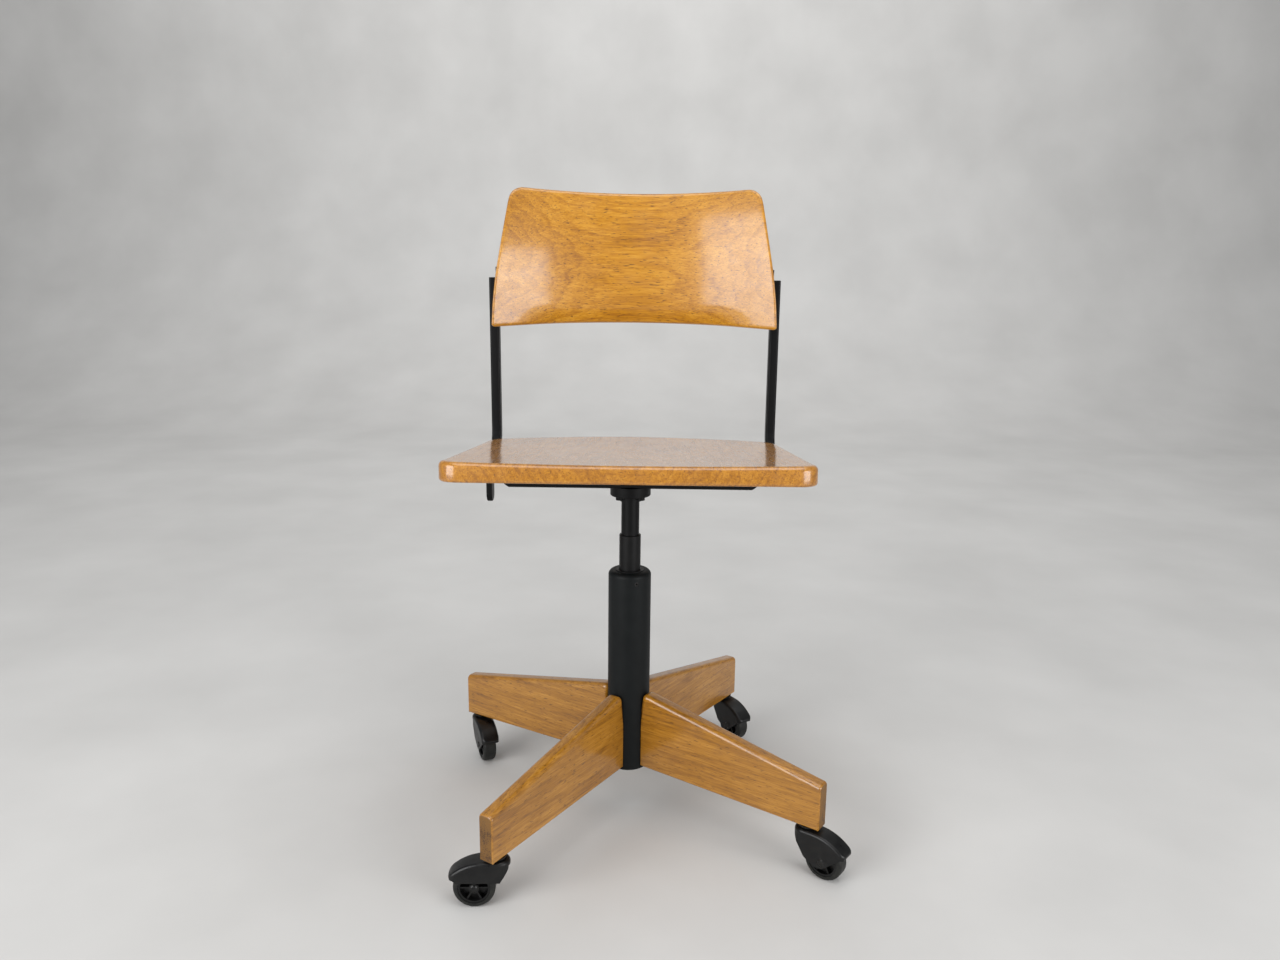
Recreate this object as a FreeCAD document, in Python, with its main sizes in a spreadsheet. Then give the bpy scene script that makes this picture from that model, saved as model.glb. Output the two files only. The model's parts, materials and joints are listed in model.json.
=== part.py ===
# Swivel chair with a wooden seat, a moulded wooden back between two steel uprights,
# a telescopic steel column and a star base of four wooden legs on hooded castors.
# Millimetres. Origin on the floor under the column axis, +Z up, the sitter faces -Y.

import FreeCAD, Part
import math
import os
import Sketcher
from FreeCAD import Placement, Rotation, Vector

doc = FreeCAD.newDocument("swivel_chair")
sheet = doc.addObject("Spreadsheet::Sheet", "Sizes")

SIZES = {
    # Column and riser
    "column_diameter": 60.0,
    "column_wall": 2.5,
    "column_drop": 2.5,
    "column_length": 291.5,
    "column_shoulder": 7.0,
    "neck_diameter": 40.0,
    "neck_bush_depth": 40.0,
    "neck_bush_rise": 0.8,
    "riser_diameter": 30.0,
    "riser_out": 51.0,
    "riser_length": 169.5,
    "guide_ring_height": 14.0,
    "lock_screw_diameter": 6.0,
    "lock_screw_drop": 13.5,
    "lock_screw_turn": -70.0,
    # Post that the seat turns on
    "post_diameter": 25.0,
    "post_in": 94.5,
    "post_out": 70.5,
    "pivot_ball_diameter": 12.0,
    "pivot_plug_height": 24.0,
    "flange_diameter": 56.0,
    "flange_thickness": 14.0,
    "neck_collar_height": 8.0,
    # Fits
    "running_fit": 0.05,
    "seat_gap": 0.3,
    # Star base
    "base_turn": 11.8,
    "leg_reach": 307.5,
    "leg_thickness": 22.0,
    "leg_end_gap": 0.7,
    "leg_end_depth": 63.7,
    "leg_hub_rise": 7.8,
    "leg_hub_depth": 112.5,
    "leg_hub_round": 10.0,
    "leg_top_round": 7.0,
    "leg_end_round": 4.0,
    "leg_bottom_round": 2.5,
    "stud_diameter": 8.0,
    "stud_depth": 58.0,
    "lower_stud_rise": 23.5,
    "upper_stud_rise": 81.5,
    "nut_across": 13.0,
    "nut_height": 6.5,
    "nut_washer_diameter": 17.0,
    "nut_washer_thickness": 1.6,
    # Castors
    "stem_inset": 20.0,
    "castor_over_wheel": 13.0,
    "socket_flange_diameter": 24.0,
    "socket_flange_thickness": 1.6,
    "socket_sleeve_diameter": 13.0,
    "stem_diameter": 11.0,
    "stem_length": 38.0,
    "hood_drop": 2.6,
    "hood_width": 26.0,
    "hood_wall": 2.2,
    "crown_overhang": 1.8,
    "crown_depth": 6.5,
    "crown_round": 4.0,
    "crown_flat": 14.0,
    "crown_tip_rise": 17.5,
    "short_cheek_rise": 9.0,
    "boss_front": 17.0,
    "castor_trail": 28.0,
    "wheel_diameter": 53.0,
    "wheel_clearance": 2.3,
    "tread_width": 20.0,
    "tread_round": 4.5,
    "tread_thickness": 6.0,
    "axle_diameter": 6.0,
    "axle_head_diameter": 10.0,
    "axle_head_height": 1.3,
    "castor_turn_front_left": 182.0,
    "castor_turn_front_right": -37.0,
    "castor_turn_rear_left": -67.0,
    "castor_turn_rear_right": -55.0,
    # Seat
    "seat_slope": 5.0,
    "carrier_depth": 28.2,
    "seat_thickness": 25.5,
    "seat_front": 208.5,
    "seat_front_overhang": 13.0,
    "seat_rear_inset": 4.0,
    "seat_side_end": 100.0,
    "seat_rear": 190.0,
    "seat_dish": 6.0,
    "seat_front_dish": 3.0,
    "seat_corner_round": 24.0,
    "seat_rear_round": 40.0,
    "seat_top_round": 7.0,
    "seat_bottom_round": 4.0,
    # Under-seat steel
    "carrier_taper": 33.0,
    "carrier_inset": 15.5,
    "carrier_front": 28.0,
    "carrier_rear": 36.0,
    "carrier_sheet": 3.0,
    "carrier_lip": 13.0,
    "carrier_bend": 5.0,
    "arm_spacing": 426.0,
    "guide_sheet": 2.5,
    "guide_front": 12.0,
    "guide_length": 40.0,
    "guide_foot": 24.0,
    "seat_screw_diameter": 4.5,
    "seat_screw_depth": 15.0,
    "seat_screw_head": 9.0,
    "carrier_screw_inner": 60.0,
    "carrier_screw_outer": 150.0,
    "guide_screw_inset": 8.0,
    "guide_screw_step": 11.0,
    "guide_screw_back": 21.0,
    "flange_bolt_circle": 42.0,
    "flange_bolt_diameter": 6.0,
    # Clamp lever under the seat
    "lever_thickness": 8.0,
    "lever_width": 24.0,
    "lever_drop": 36.5,
    "lever_inset": 12.0,
    "lever_pivot_drop": 16.5,
    "lever_pin_diameter": 6.0,
    # Back frame
    "upright_width": 14.0,
    "upright_depth": 20.0,
    "upright_wall": 1.5,
    "upright_front": 190.0,
    "upright_over_pivot": 24.0,
    "upright_edge": 3.0,
    "arm_bend": 30.0,
    "arm_front": 30.0,
    "arm_tie_diameter": 14.0,
    "arm_tie_back": 96.0,
    # Back
    "board_thickness": 12.0,
    "board_set_back": 25.4,
    "board_bow": 420.0,
    "board_under_pivot": 48.0,
    "board_height": 205.0,
    "lumbar_rise": 38.0,
    "lip_bow": 80.0,
    "lean_bow": 650.0,
    "board_middle_rise": 58.0,
    "board_middle_inset": 3.5,
    "board_side_bow": 500.0,
    "board_sweep": 3000.0,
    "board_top_inset": 31.0,
    "board_top_dip": 7.5,
    "board_bottom_arch": 4.5,
    "board_corner_round": 20.0,
    "board_edge_round": 3.5,
    "pivot_over_seat": 221.8,
    "pivot_diameter": 6.0,
    "bracket_sheet": 2.5,
    "bracket_reach": 48.0,
    "bracket_under_pivot": 8.0,
    "bracket_over_pivot": 40.0,
    "bracket_screw_edge": 12.0,
    "bracket_screw_inset": 13.0,
    "bracket_screw_pitch": 15.0,
    "board_screw_diameter": 4.0,
}

# Levels and widths that follow from those sizes, from the floor up and from the middle out
LEVELS = {
    "castor_height": "wheel_diameter + castor_over_wheel",
    "hood_top": "castor_height - hood_drop",
    "stem_circle": "leg_reach - stem_inset",
    "leg_end_bottom": "castor_height + leg_end_gap",
    "leg_end_top": "leg_end_bottom + leg_end_depth",
    "leg_hub_bottom": "leg_end_bottom + leg_hub_rise",
    "leg_hub_top": "leg_hub_bottom + leg_hub_depth",
    "lower_stud_height": "leg_hub_bottom + lower_stud_rise",
    "upper_stud_height": "leg_hub_bottom + upper_stud_rise",
    "column_bottom": "leg_hub_bottom - column_drop",
    "column_top": "column_bottom + column_length",
    "lock_screw_height": "column_top - lock_screw_drop",
    "riser_top": "column_top + riser_out",
    "riser_bottom": "riser_top - riser_length",
    "post_bottom": "riser_top - post_in",
    "carrier_bottom": "riser_top + post_out",
    "seat_underside": "carrier_bottom + carrier_depth",
    "seat_front_width": "arm_spacing + 2 * seat_front_overhang",
    "seat_rear_width": "arm_spacing - 2 * seat_rear_inset",
    "carrier_top_width": "arm_spacing - 2 * carrier_inset",
    "carrier_bottom_width": "carrier_top_width - 2 * carrier_taper",
    "pivot_height": "seat_underside + pivot_over_seat",
    "upright_top": "pivot_height + upright_over_pivot",
    "board_front": "upright_front + board_set_back",
    "board_bottom": "pivot_height - board_under_pivot",
    "board_middle": "board_bottom + board_middle_rise",
    "board_corner_top": "board_bottom + board_height",
    "lumbar_height": "board_bottom + lumbar_rise",
    "board_bottom_width": "arm_spacing",
    "board_middle_width": "arm_spacing - 2 * board_middle_inset",
    "board_top_width": "arm_spacing - 2 * board_top_inset",
    "bracket_inner": "arm_spacing - 2 * bracket_reach",
    "bracket_bottom": "pivot_height - bracket_under_pivot",
    "bracket_top": "pivot_height + bracket_over_pivot",
}

for row, (name, size) in enumerate([*SIZES.items(), *LEVELS.items()], start=1):
    sheet.set("A%d" % row, name)
    sheet.set("B%d" % row, "=" + size if name in LEVELS else str(size))
    sheet.setAlias("B%d" % row, name)
doc.recompute()


# Reading the sheet. Formulas below use the names of the sizes.
def value(formula):
    return float(sheet.evalExpression(str(formula)))


def cells(formula):
    text = ""
    word = ""
    for letter in str(formula) + " ":
        if letter.isalnum() or letter == "_":
            word += letter
            continue
        text += "Sizes." + word if word in SIZES or word in LEVELS else word
        text += letter
        word = ""
    return text.strip()


def bind(thing, prop, formula):
    thing.setExpression(prop, cells(formula))


# Sketches: closed outlines whose corners are pinned to formulas, each corner (x, y) or
# (x, y, radius of its rounding). A bow turns the side that starts at a corner into an arc.
def start_sketch(body, plane, offset=None):
    sketch = body.newObject("Sketcher::SketchObject", body.Name + "_sketch")
    origin = next(part for part in body.Origin.OriginFeatures if part.Role == plane)
    sketch.AttachmentSupport = [(origin, "")]
    sketch.MapMode = "FlatFace"
    if offset is not None:
        bind(sketch, "AttachmentOffset.Base.z", offset)
    return sketch


def pin(sketch, geometry, point, x, y):
    for kind, formula in (("DistanceX", x), ("DistanceY", y)):
        index = sketch.addConstraint(Sketcher.Constraint(kind, geometry, point, value(formula)))
        bind(sketch, "Constraints[%d]" % index, formula)


def set_radius(sketch, geometry, formula):
    index = sketch.addConstraint(Sketcher.Constraint("Radius", geometry, value(formula)))
    bind(sketch, "Constraints[%d]" % index, formula)


def bowed_middle(start, end, radius):
    chord = end - start
    half = chord.Length / 2
    rise = abs(radius) - math.sqrt(radius * radius - half * half)
    across = Vector(chord.y, -chord.x, 0).normalize() * math.copysign(rise, radius)
    return (start + end) * 0.5 + across


def outline(sketch, corners, bows=None):
    bows = bows or {}
    count = len(corners)
    first = sketch.GeometryCount
    places = [Vector(value(c[0]), value(c[1]), 0) for c in corners]
    arrive, leave, bends = [], [], []
    for i, corner in enumerate(corners):
        back = (places[i - 1] - places[i]).normalize()
        ahead = (places[(i + 1) % count] - places[i]).normalize()
        radius = value(corner[2]) if len(corner) > 2 else 0.0
        half = back.getAngle(ahead) / 2
        arrive.append(places[i] + back * (radius / math.tan(half)))
        leave.append(places[i] + ahead * (radius / math.tan(half)))
        middle = (back + ahead).normalize() if radius else Vector()
        bends.append(places[i] + middle * (radius / math.sin(half) - radius))
    for i in range(count):
        end = arrive[(i + 1) % count]
        if i in bows:
            middle = bowed_middle(leave[i], end, value(bows[i]))
            sketch.addGeometry(Part.Arc(leave[i], middle, end))
        else:
            sketch.addGeometry(Part.LineSegment(leave[i], end))
    # An arc may have been stored end for end, so its points are looked up by place.
    def end_at(geometry, place):
        return 1 if sketch.getPoint(geometry, 1).distanceToPoint(place) < 1e-4 else 2

    for i, corner in enumerate(corners):
        side, last = first + i, first + (i - 1) % count
        if len(corner) == 2:
            joint = (last, end_at(last, arrive[i]), side, end_at(side, leave[i]))
            sketch.addConstraint(Sketcher.Constraint("Coincident", *joint))
            pin(sketch, side, end_at(side, leave[i]), corner[0], corner[1])
            continue
        bend = sketch.addGeometry(Part.Arc(arrive[i], bends[i], leave[i]))
        mark = sketch.addGeometry(Part.Point(places[i]), True)
        near = (last, end_at(last, arrive[i]), bend, end_at(bend, arrive[i]))
        far = (bend, end_at(bend, leave[i]), side, end_at(side, leave[i]))
        sketch.addConstraint(Sketcher.Constraint("Tangent", *near))
        sketch.addConstraint(Sketcher.Constraint("Tangent", *far))
        sketch.addConstraint(Sketcher.Constraint("PointOnObject", mark, 1, last))
        sketch.addConstraint(Sketcher.Constraint("PointOnObject", mark, 1, side))
        pin(sketch, mark, 1, corner[0], corner[1])
        set_radius(sketch, bend, corner[2])
    for i in bows:
        set_radius(sketch, first + i, "abs(%s)" % bows[i])


def circles(sketch, centres, radius):
    for x, y in centres:
        centre = Vector(value(x), value(y), 0)
        ring = sketch.addGeometry(Part.Circle(centre, Vector(0, 0, 1), value(radius)))
        pin(sketch, ring, 3, x, y)
        set_radius(sketch, ring, radius)


# Features on a body
def new_body(name):
    body = doc.addObject("PartDesign::Body", name)
    body.Label = name
    return body


def pad(body, sketch, length, symmetric=True, reverse=False):
    feature = body.newObject("PartDesign::Pad", body.Name + "_pad")
    feature.Profile = sketch
    bind(feature, "Length", length)
    feature.SideType = "Symmetric" if symmetric else "One side"
    feature.Reversed = reverse
    doc.recompute()
    return feature


def pocket(body, sketch, length, symmetric=False, reverse=False):
    before = body.Shape.Volume
    feature = body.newObject("PartDesign::Pocket", body.Name + "_pocket")
    feature.Profile = sketch
    feature.Type = "Length"
    bind(feature, "Length", length)
    feature.SideType = "Symmetric" if symmetric else "One side"
    feature.Reversed = reverse
    doc.recompute()
    if body.Shape.Volume > before - 1e-3:
        raise RuntimeError("a pocket of %s cuts nothing" % body.Name)
    return feature


def revolve(body, sketch, angle=360.0):
    feature = body.newObject("PartDesign::Revolution", body.Name + "_turn")
    feature.Profile = sketch
    feature.ReferenceAxis = (sketch, ["V_Axis"])
    feature.Angle = angle
    feature.Midplane = angle < 360.0
    doc.recompute()
    return feature


def round_edges(body, radius, chosen):
    base = body.Tip
    names = ["Edge%d" % i for i, edge in enumerate(base.Shape.Edges, start=1) if chosen(edge)]
    feature = body.newObject("PartDesign::Fillet", body.Name + "_round")
    feature.Base = (base, names)
    bind(feature, "Radius", radius)
    body.Tip = feature
    doc.recompute()
    if "Invalid" in feature.State:
        raise RuntimeError("a rounding of %s fails" % body.Name)
    return feature


def turned(name, corners, bows=None):
    body = new_body(name)
    sketch = start_sketch(body, "XZ_Plane")
    outline(sketch, corners, bows)
    revolve(body, sketch)
    return body


def ring(name, inner, outer, bottom, top):
    return turned(name, [(inner, bottom), (outer, bottom), (outer, top), (inner, top)])


def rod(name, radius, bottom, top):
    return turned(name, [("0", bottom), (radius, bottom), (radius, top), ("0", top)])


# Placing a part: formulas for its place, and a rotation from the same sizes
def place(part, x="0", y="0", z="0", turn=None):
    part.Placement = Placement(Vector(value(x), value(y), value(z)), turn or Rotation())
    for axis, formula in (("x", x), ("y", y), ("z", z)):
        if str(formula) != "0":
            bind(part, "Placement.Base." + axis, formula)
    return part


def about(axis, degrees):
    return Rotation(Vector(*axis), degrees)


X_AXIS, Y_AXIS, Z_AXIS = (1, 0, 0), (0, 1, 0), (0, 0, 1)
ALONG_X = about(Y_AXIS, 90)
ALONG_Y = about(X_AXIS, -90)


# Booleans between parts
def combine(kind, name, base, tool):
    result = doc.addObject("Part::" + kind, name)
    result.Label = name
    result.Base = base
    result.Tool = tool
    doc.recompute()
    return result


def group(name, members):
    result = doc.addObject("Part::Compound", name)
    result.Label = name
    result.Links = members
    doc.recompute()
    return result


def drill(name, blank, drills):
    tool = drills[0] if len(drills) == 1 else group(name + "_drills", drills)
    return combine("Cut", name, blank, tool)


# Angles of the four corners of the star base, and the radial places on them
CORNERS = {
    "front_right": "base_turn - 45",
    "rear_right": "base_turn + 45",
    "rear_left": "base_turn + 135",
    "front_left": "base_turn - 135",
}
HEIGHTS = ("lower", "upper")
parts = []


def keep(part):
    parts.append(part)
    return part


def outward(angle):
    return about(Z_AXIS, value(angle)).multiply(ALONG_X)


def every_stud():
    return [(corner, height) for corner in CORNERS for height in HEIGHTS]


def radial_rods(name, radius, start, end):
    rods = []
    for corner, height in every_stud():
        piece = rod("%s_%s_%s" % (name, corner, height), radius, start, end)
        rods.append(place(piece, z=height + "_stud_height", turn=outward(CORNERS[corner])))
    return rods


# Column
COLUMN_BORE = "column_diameter / 2 - column_wall"

column_blank = turned("column_blank", [
    (COLUMN_BORE, "column_bottom"),
    ("column_diameter / 2", "column_bottom"),
    ("column_diameter / 2", "column_top", "column_shoulder"),
    ("neck_diameter / 2", "column_top"),
    ("neck_diameter / 2", "column_top - column_wall"),
    (COLUMN_BORE, "column_top - column_wall", "column_shoulder - column_wall"),
])
column_drills = radial_rods(
    "column_drill", "stud_diameter / 2 + running_fit", COLUMN_BORE + " - 5", "column_diameter / 2 + 5")
LOCK_TURN = about(Z_AXIS, value("lock_screw_turn")).multiply(ALONG_X)
LOCK_TIP = "riser_diameter / 2 + running_fit * 2"
LOCK_END = "column_diameter / 2 - 0.5"
lock_drill = rod("lock_drill", "lock_screw_diameter / 2 + running_fit", "0", "column_diameter / 2 + 5")
place(lock_drill, z="lock_screw_height", turn=LOCK_TURN)
column_drills.append(lock_drill)
keep(drill("column_tube", column_blank, column_drills))

bush_blank = turned("bush_blank", [
    ("riser_diameter / 2 + running_fit", "column_top - column_wall - neck_bush_depth"),
    (COLUMN_BORE + " - running_fit", "column_top - column_wall - neck_bush_depth"),
    (COLUMN_BORE + " - running_fit", "column_top - column_wall", "column_shoulder"),
    ("neck_diameter / 2 - running_fit", "column_top - column_wall"),
    ("neck_diameter / 2 - running_fit", "column_top + neck_bush_rise"),
    ("riser_diameter / 2 + running_fit", "column_top + neck_bush_rise"),
])
bush_drill = rod("bush_drill", "lock_screw_diameter / 2 + running_fit", "0", "column_diameter / 2 + 5")
place(bush_drill, z="lock_screw_height", turn=LOCK_TURN)
keep(drill("neck_bush", bush_blank, [bush_drill]))

lock_screw = keep(turned("height_lock_screw", [
    ("0", LOCK_TIP),
    ("lock_screw_diameter / 2 - 1", LOCK_TIP),
    ("lock_screw_diameter / 2", LOCK_TIP + " + 1"),
    ("lock_screw_diameter / 2", LOCK_END),
    ("lock_screw_diameter / 4", LOCK_END),
    ("lock_screw_diameter / 4", LOCK_END + " - 2.5"),
    ("0", LOCK_END + " - 2.5"),
]))
place(lock_screw, z="lock_screw_height", turn=LOCK_TURN)

keep(turned("column_foot_cap", [
    ("0", "column_bottom - 3"),
    ("column_diameter / 2 - 1", "column_bottom - 3", "2"),
    ("column_diameter / 2 - 1", "column_bottom"),
    (COLUMN_BORE + " - running_fit", "column_bottom"),
    (COLUMN_BORE + " - running_fit", "column_bottom + 10"),
    (COLUMN_BORE + " - 2.5", "column_bottom + 10"),
    (COLUMN_BORE + " - 2.5", "column_bottom"),
    ("0", "column_bottom"),
]))

# Legs: sawn from board, tapered, rounded, scooped to the column and drilled
leg_drill_radius = "stud_diameter / 2 + running_fit"


def leg_line(x):
    rise = "(leg_hub_top - leg_end_top) * (leg_reach - %s) / (leg_reach - column_diameter / 2)" % x
    return "leg_end_top + " + rise


for corner, angle in CORNERS.items():
    leg = new_body("leg_%s_blank" % corner)
    side = start_sketch(leg, "XZ_Plane")
    outline(side, [
        ("column_diameter / 2 - 3", "leg_hub_bottom"),
        ("leg_reach", "leg_end_bottom"),
        ("leg_reach", "leg_end_top"),
        ("column_diameter / 2 - 3", leg_line("(column_diameter / 2 - 3)")),
    ])
    pad(leg, side, "leg_thickness")
    half = value("leg_thickness") / 2
    reach = value("leg_reach")

    def on_top(edge):
        ends = [v.Point for v in edge.Vertexes]
        along = abs(ends[0].x - ends[-1].x) > reach / 2
        return along and min(p.z for p in ends) > value("leg_end_top") - 1 and abs(abs(ends[0].y) - half) < 0.1

    def at_end(edge):
        return all(abs(v.X - reach) < 0.1 for v in edge.Vertexes)

    def at_hub(edge):
        return all(v.X < value("column_diameter / 2 - 2") and v.Z > value("leg_end_top") for v in edge.Vertexes)

    def at_bottom(edge):
        ends = [v.Point for v in edge.Vertexes]
        along = abs(ends[0].x - ends[-1].x) > reach / 2
        return along and max(p.z for p in ends) < value("leg_hub_bottom") + 1

    round_edges(leg, "leg_top_round", on_top)
    round_edges(leg, "leg_end_round", at_end)
    round_edges(leg, "leg_bottom_round", at_bottom)
    round_edges(leg, "leg_hub_round", at_hub)
    scoop = start_sketch(leg, "XY_Plane")
    circles(scoop, [("0", "0")], "column_diameter / 2 + running_fit")
    pocket(leg, scoop, "leg_hub_top + 20", reverse=True)
    studs = start_sketch(leg, "YZ_Plane")
    circles(studs, [("0", "lower_stud_height"), ("0", "upper_stud_height")], leg_drill_radius)
    pocket(leg, studs, "column_diameter / 2 + stud_depth", reverse=True)
    socket = start_sketch(leg, "XY_Plane")
    circles(socket, [("stem_circle", "0")], "socket_sleeve_diameter / 2 + running_fit")
    pocket(leg, socket, "castor_height + socket_flange_thickness + stem_length + 2", reverse=True)
    spot = start_sketch(leg, "XY_Plane")
    circles(spot, [("stem_circle", "0")], "socket_flange_diameter / 2 + seat_gap")
    pocket(leg, spot, "castor_height + socket_flange_thickness", reverse=True)
    place(leg, turn=about(Z_AXIS, value(angle)))
    leg.Label = "leg_" + corner
    keep(leg)

# Leg fixings: hanger bolts run from the column into the end grain, with nuts inside
studs = radial_rods("stud", "stud_diameter / 2", COLUMN_BORE + " - nut_height - 4",
                    "column_diameter / 2 + stud_depth - 1")
keep(group("leg_hanger_bolts", studs))


def radial_rings(name, outer, start, end):
    rings = []
    for corner, height in every_stud():
        piece = ring("%s_%s_%s" % (name, corner, height), "stud_diameter / 2 + running_fit",
                     outer, start, end)
        rings.append(place(piece, z=height + "_stud_height", turn=outward(CORNERS[corner])))
    return rings


def hex_nuts(name, across, hole, start, height, places):
    nuts = []
    for label, z, turn in places:
        nut = new_body("%s_%s" % (name, label))
        face = start_sketch(nut, "XY_Plane", start)
        tip = "%s / sqrt(3)" % across
        corners = []
        for k in range(6):
            corners.append(("%s * cos(%d)" % (tip, 60 * k), "%s * sin(%d)" % (tip, 60 * k)))
        outline(face, corners)
        circles(face, [("0", "0")], hole)
        pad(nut, face, height, symmetric=False)
        nuts.append(place(nut, z=z, turn=turn))
    return nuts


washer_seat = "sqrt((%s)^2 - nut_washer_diameter^2 / 4)" % COLUMN_BORE
keep(group("leg_washers", radial_rings(
    "washer", "nut_washer_diameter / 2", washer_seat + " - nut_washer_thickness", washer_seat)))
stud_places = []
for corner, height in every_stud():
    stud_places.append((corner + "_" + height, height + "_stud_height", outward(CORNERS[corner])))
keep(group("leg_nuts", hex_nuts(
    "nut", "nut_across", "stud_diameter / 2 + running_fit",
    washer_seat + " - nut_washer_thickness - nut_height", "nut_height", stud_places)))

# Castors. Each is built with its stem on the Z axis and its wheel trailing along +X. The hood's
# crown runs level over the stem and then falls in an arc, tangent to it, to a peak behind the wheel.
TIP_REACH = "(castor_trail + wheel_diameter / 2 + wheel_clearance + 3)"
TIP_TOP = "(wheel_diameter / 2 + crown_tip_rise)"
CROWN_RUN = "(%s - crown_flat)" % TIP_REACH
CROWN_FALL = "(hood_top - %s)" % TIP_TOP
CROWN_BOW = "((%s^2 + %s^2) / (2 * %s))" % (CROWN_RUN, CROWN_FALL, CROWN_FALL)
HUB_RADIUS = "wheel_diameter / 2 - tread_thickness"
SLOT_RADIUS = "wheel_diameter / 2 + wheel_clearance"
HOOD_FRONT = "-boss_front"


def castor_place(part, corner, height="0", lie=None):
    stem = "stem_circle * %s(" + CORNERS[corner] + ")"
    angle = value("castor_turn_" + corner)
    turn = about(Z_AXIS, angle)
    x, y = stem % "cos", stem % "sin"
    if lie is not None:
        x += " + castor_trail * cos(castor_turn_%s)" % corner
        y += " + castor_trail * sin(castor_turn_%s)" % corner
        turn = turn.multiply(lie)
    return place(part, x, y, height, turn)


def castor_socket(corner):
    top = "castor_height + socket_flange_thickness"
    body = turned("castor_socket_" + corner, [
        ("stem_diameter / 2 + running_fit", "castor_height"),
        ("socket_flange_diameter / 2", "castor_height"),
        ("socket_flange_diameter / 2", top),
        ("socket_sleeve_diameter / 2", top),
        ("socket_sleeve_diameter / 2", top + " + stem_length"),
        ("stem_diameter / 2 + running_fit", top + " + stem_length"),
    ])
    return castor_place(body, corner)


def castor_stem(corner):
    top = "castor_height + stem_length"
    body = turned("castor_stem_" + corner, [
        ("0", "hood_top - 9"),
        ("stem_diameter / 2", "hood_top - 9"),
        ("stem_diameter / 2", "hood_top"),
        ("stem_diameter / 2 + 3", "hood_top"),
        ("stem_diameter / 2 + 3", "castor_height - seat_gap"),
        ("stem_diameter / 2", "castor_height - seat_gap"),
        ("stem_diameter / 2", top + " - 9"),
        ("stem_diameter / 2 - 1", top + " - 8"),
        ("stem_diameter / 2 - 1", top + " - 5"),
        ("stem_diameter / 2", top + " - 4"),
        ("stem_diameter / 2 - 1.5", top),
        ("0", top),
    ])
    return castor_place(body, corner)


def castor_hood(corner):
    body = new_body("castor_hood_" + corner)
    axle_x, axle_z = "castor_trail", "wheel_diameter / 2"
    inner_bow = "(%s - crown_depth)" % CROWN_BOW
    brim_x = "(crown_flat + %s * %s / %s)" % (inner_bow, CROWN_RUN, CROWN_BOW)
    brim_z = "(hood_top - %s + %s * (%s - %s) / %s)" % (CROWN_BOW, inner_bow, CROWN_BOW, CROWN_FALL, CROWN_BOW)
    cheek_bow = "(%s - crown_depth / 2)" % CROWN_BOW
    cheek_x = "(crown_flat + %s * %s / %s)" % (cheek_bow, CROWN_RUN, CROWN_BOW)
    cheek_z = "(hood_top - %s + %s * (%s - %s) / %s)" % (CROWN_BOW, cheek_bow, CROWN_BOW, CROWN_FALL, CROWN_BOW)
    cheek_front = HOOD_FRONT + " + crown_overhang"
    cheek = start_sketch(body, "XZ_Plane")
    outline(cheek, [
        (cheek_front, "hood_top - crown_depth / 2"),
        (cheek_front, "hood_top - crown_depth - 4", "8"),
        (axle_x + " - 26", axle_z + " - 1", "12"),
        (axle_x + " - 9", axle_z + " - 10", "7"),
        (axle_x + " + 1", axle_z + " - 9", "5"),
        (cheek_x, cheek_z),
        ("crown_flat", "hood_top - crown_depth / 2"),
    ], {5: cheek_bow})
    pad(body, cheek, "hood_width")
    crown = start_sketch(body, "XZ_Plane")
    outline(crown, [
        (HOOD_FRONT, "hood_top"),
        (HOOD_FRONT, "hood_top - crown_depth"),
        ("crown_flat", "hood_top - crown_depth"),
        (brim_x, brim_z),
        (TIP_REACH + " - 1.5", brim_z),
        (TIP_REACH, TIP_TOP),
        ("crown_flat", "hood_top"),
    ], {2: "-" + inner_bow, 5: CROWN_BOW})
    pad(body, crown, "hood_width + 2 * crown_overhang")
    plan = start_sketch(body, "XY_Plane")
    wide = "hood_width / 2 + crown_overhang"
    outline(plan, [("-80", "-80"), ("120", "-80"), ("120", "80"), ("-80", "80")])
    outline(plan, [
        (HOOD_FRONT, "-(%s)" % wide, wide + " - 0.5"),
        (TIP_REACH, "-(%s) + 1" % wide, "8"),
        (TIP_REACH, wide + " - 1", "8"),
        (HOOD_FRONT, wide, wide + " - 0.5"),
    ])
    pocket(body, plan, "hood_top + 5", reverse=True)

    def on_crown(edge):
        middle = edge.valueAt((edge.FirstParameter + edge.LastParameter) / 2)
        fall = max(0.0, middle.x - value("crown_flat"))
        top = value("hood_top - %s" % CROWN_BOW) + math.sqrt(value(CROWN_BOW) ** 2 - fall ** 2)
        return abs(middle.z - top) < 0.05 and abs(middle.y) > 0.5

    round_edges(body, "crown_round", on_crown)
    slot = start_sketch(body, "XZ_Plane")
    circles(slot, [(axle_x, axle_z)], SLOT_RADIUS)
    pocket(body, slot, "hood_width - 2 * hood_wall", symmetric=True)
    # One cheek is short and leaves the wheel's spokes in view, so the other one carries the axle
    short = start_sketch(body, "XZ_Plane")
    outline(short, [
        ("-40", "0"),
        ("100", "0"),
        ("100", axle_z + " + short_cheek_rise"),
        ("-40", axle_z + " + short_cheek_rise"),
    ])
    pocket(body, short, "40")
    axle = start_sketch(body, "XZ_Plane")
    circles(axle, [(axle_x, axle_z)], "axle_diameter / 2 + running_fit")
    pocket(body, axle, "hood_width + 20", symmetric=True)
    seat = start_sketch(body, "XY_Plane", "hood_top - 9")
    circles(seat, [("0", "0")], "stem_diameter / 2")
    pocket(body, seat, "20", reverse=True)
    return castor_place(body, corner)


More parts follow.
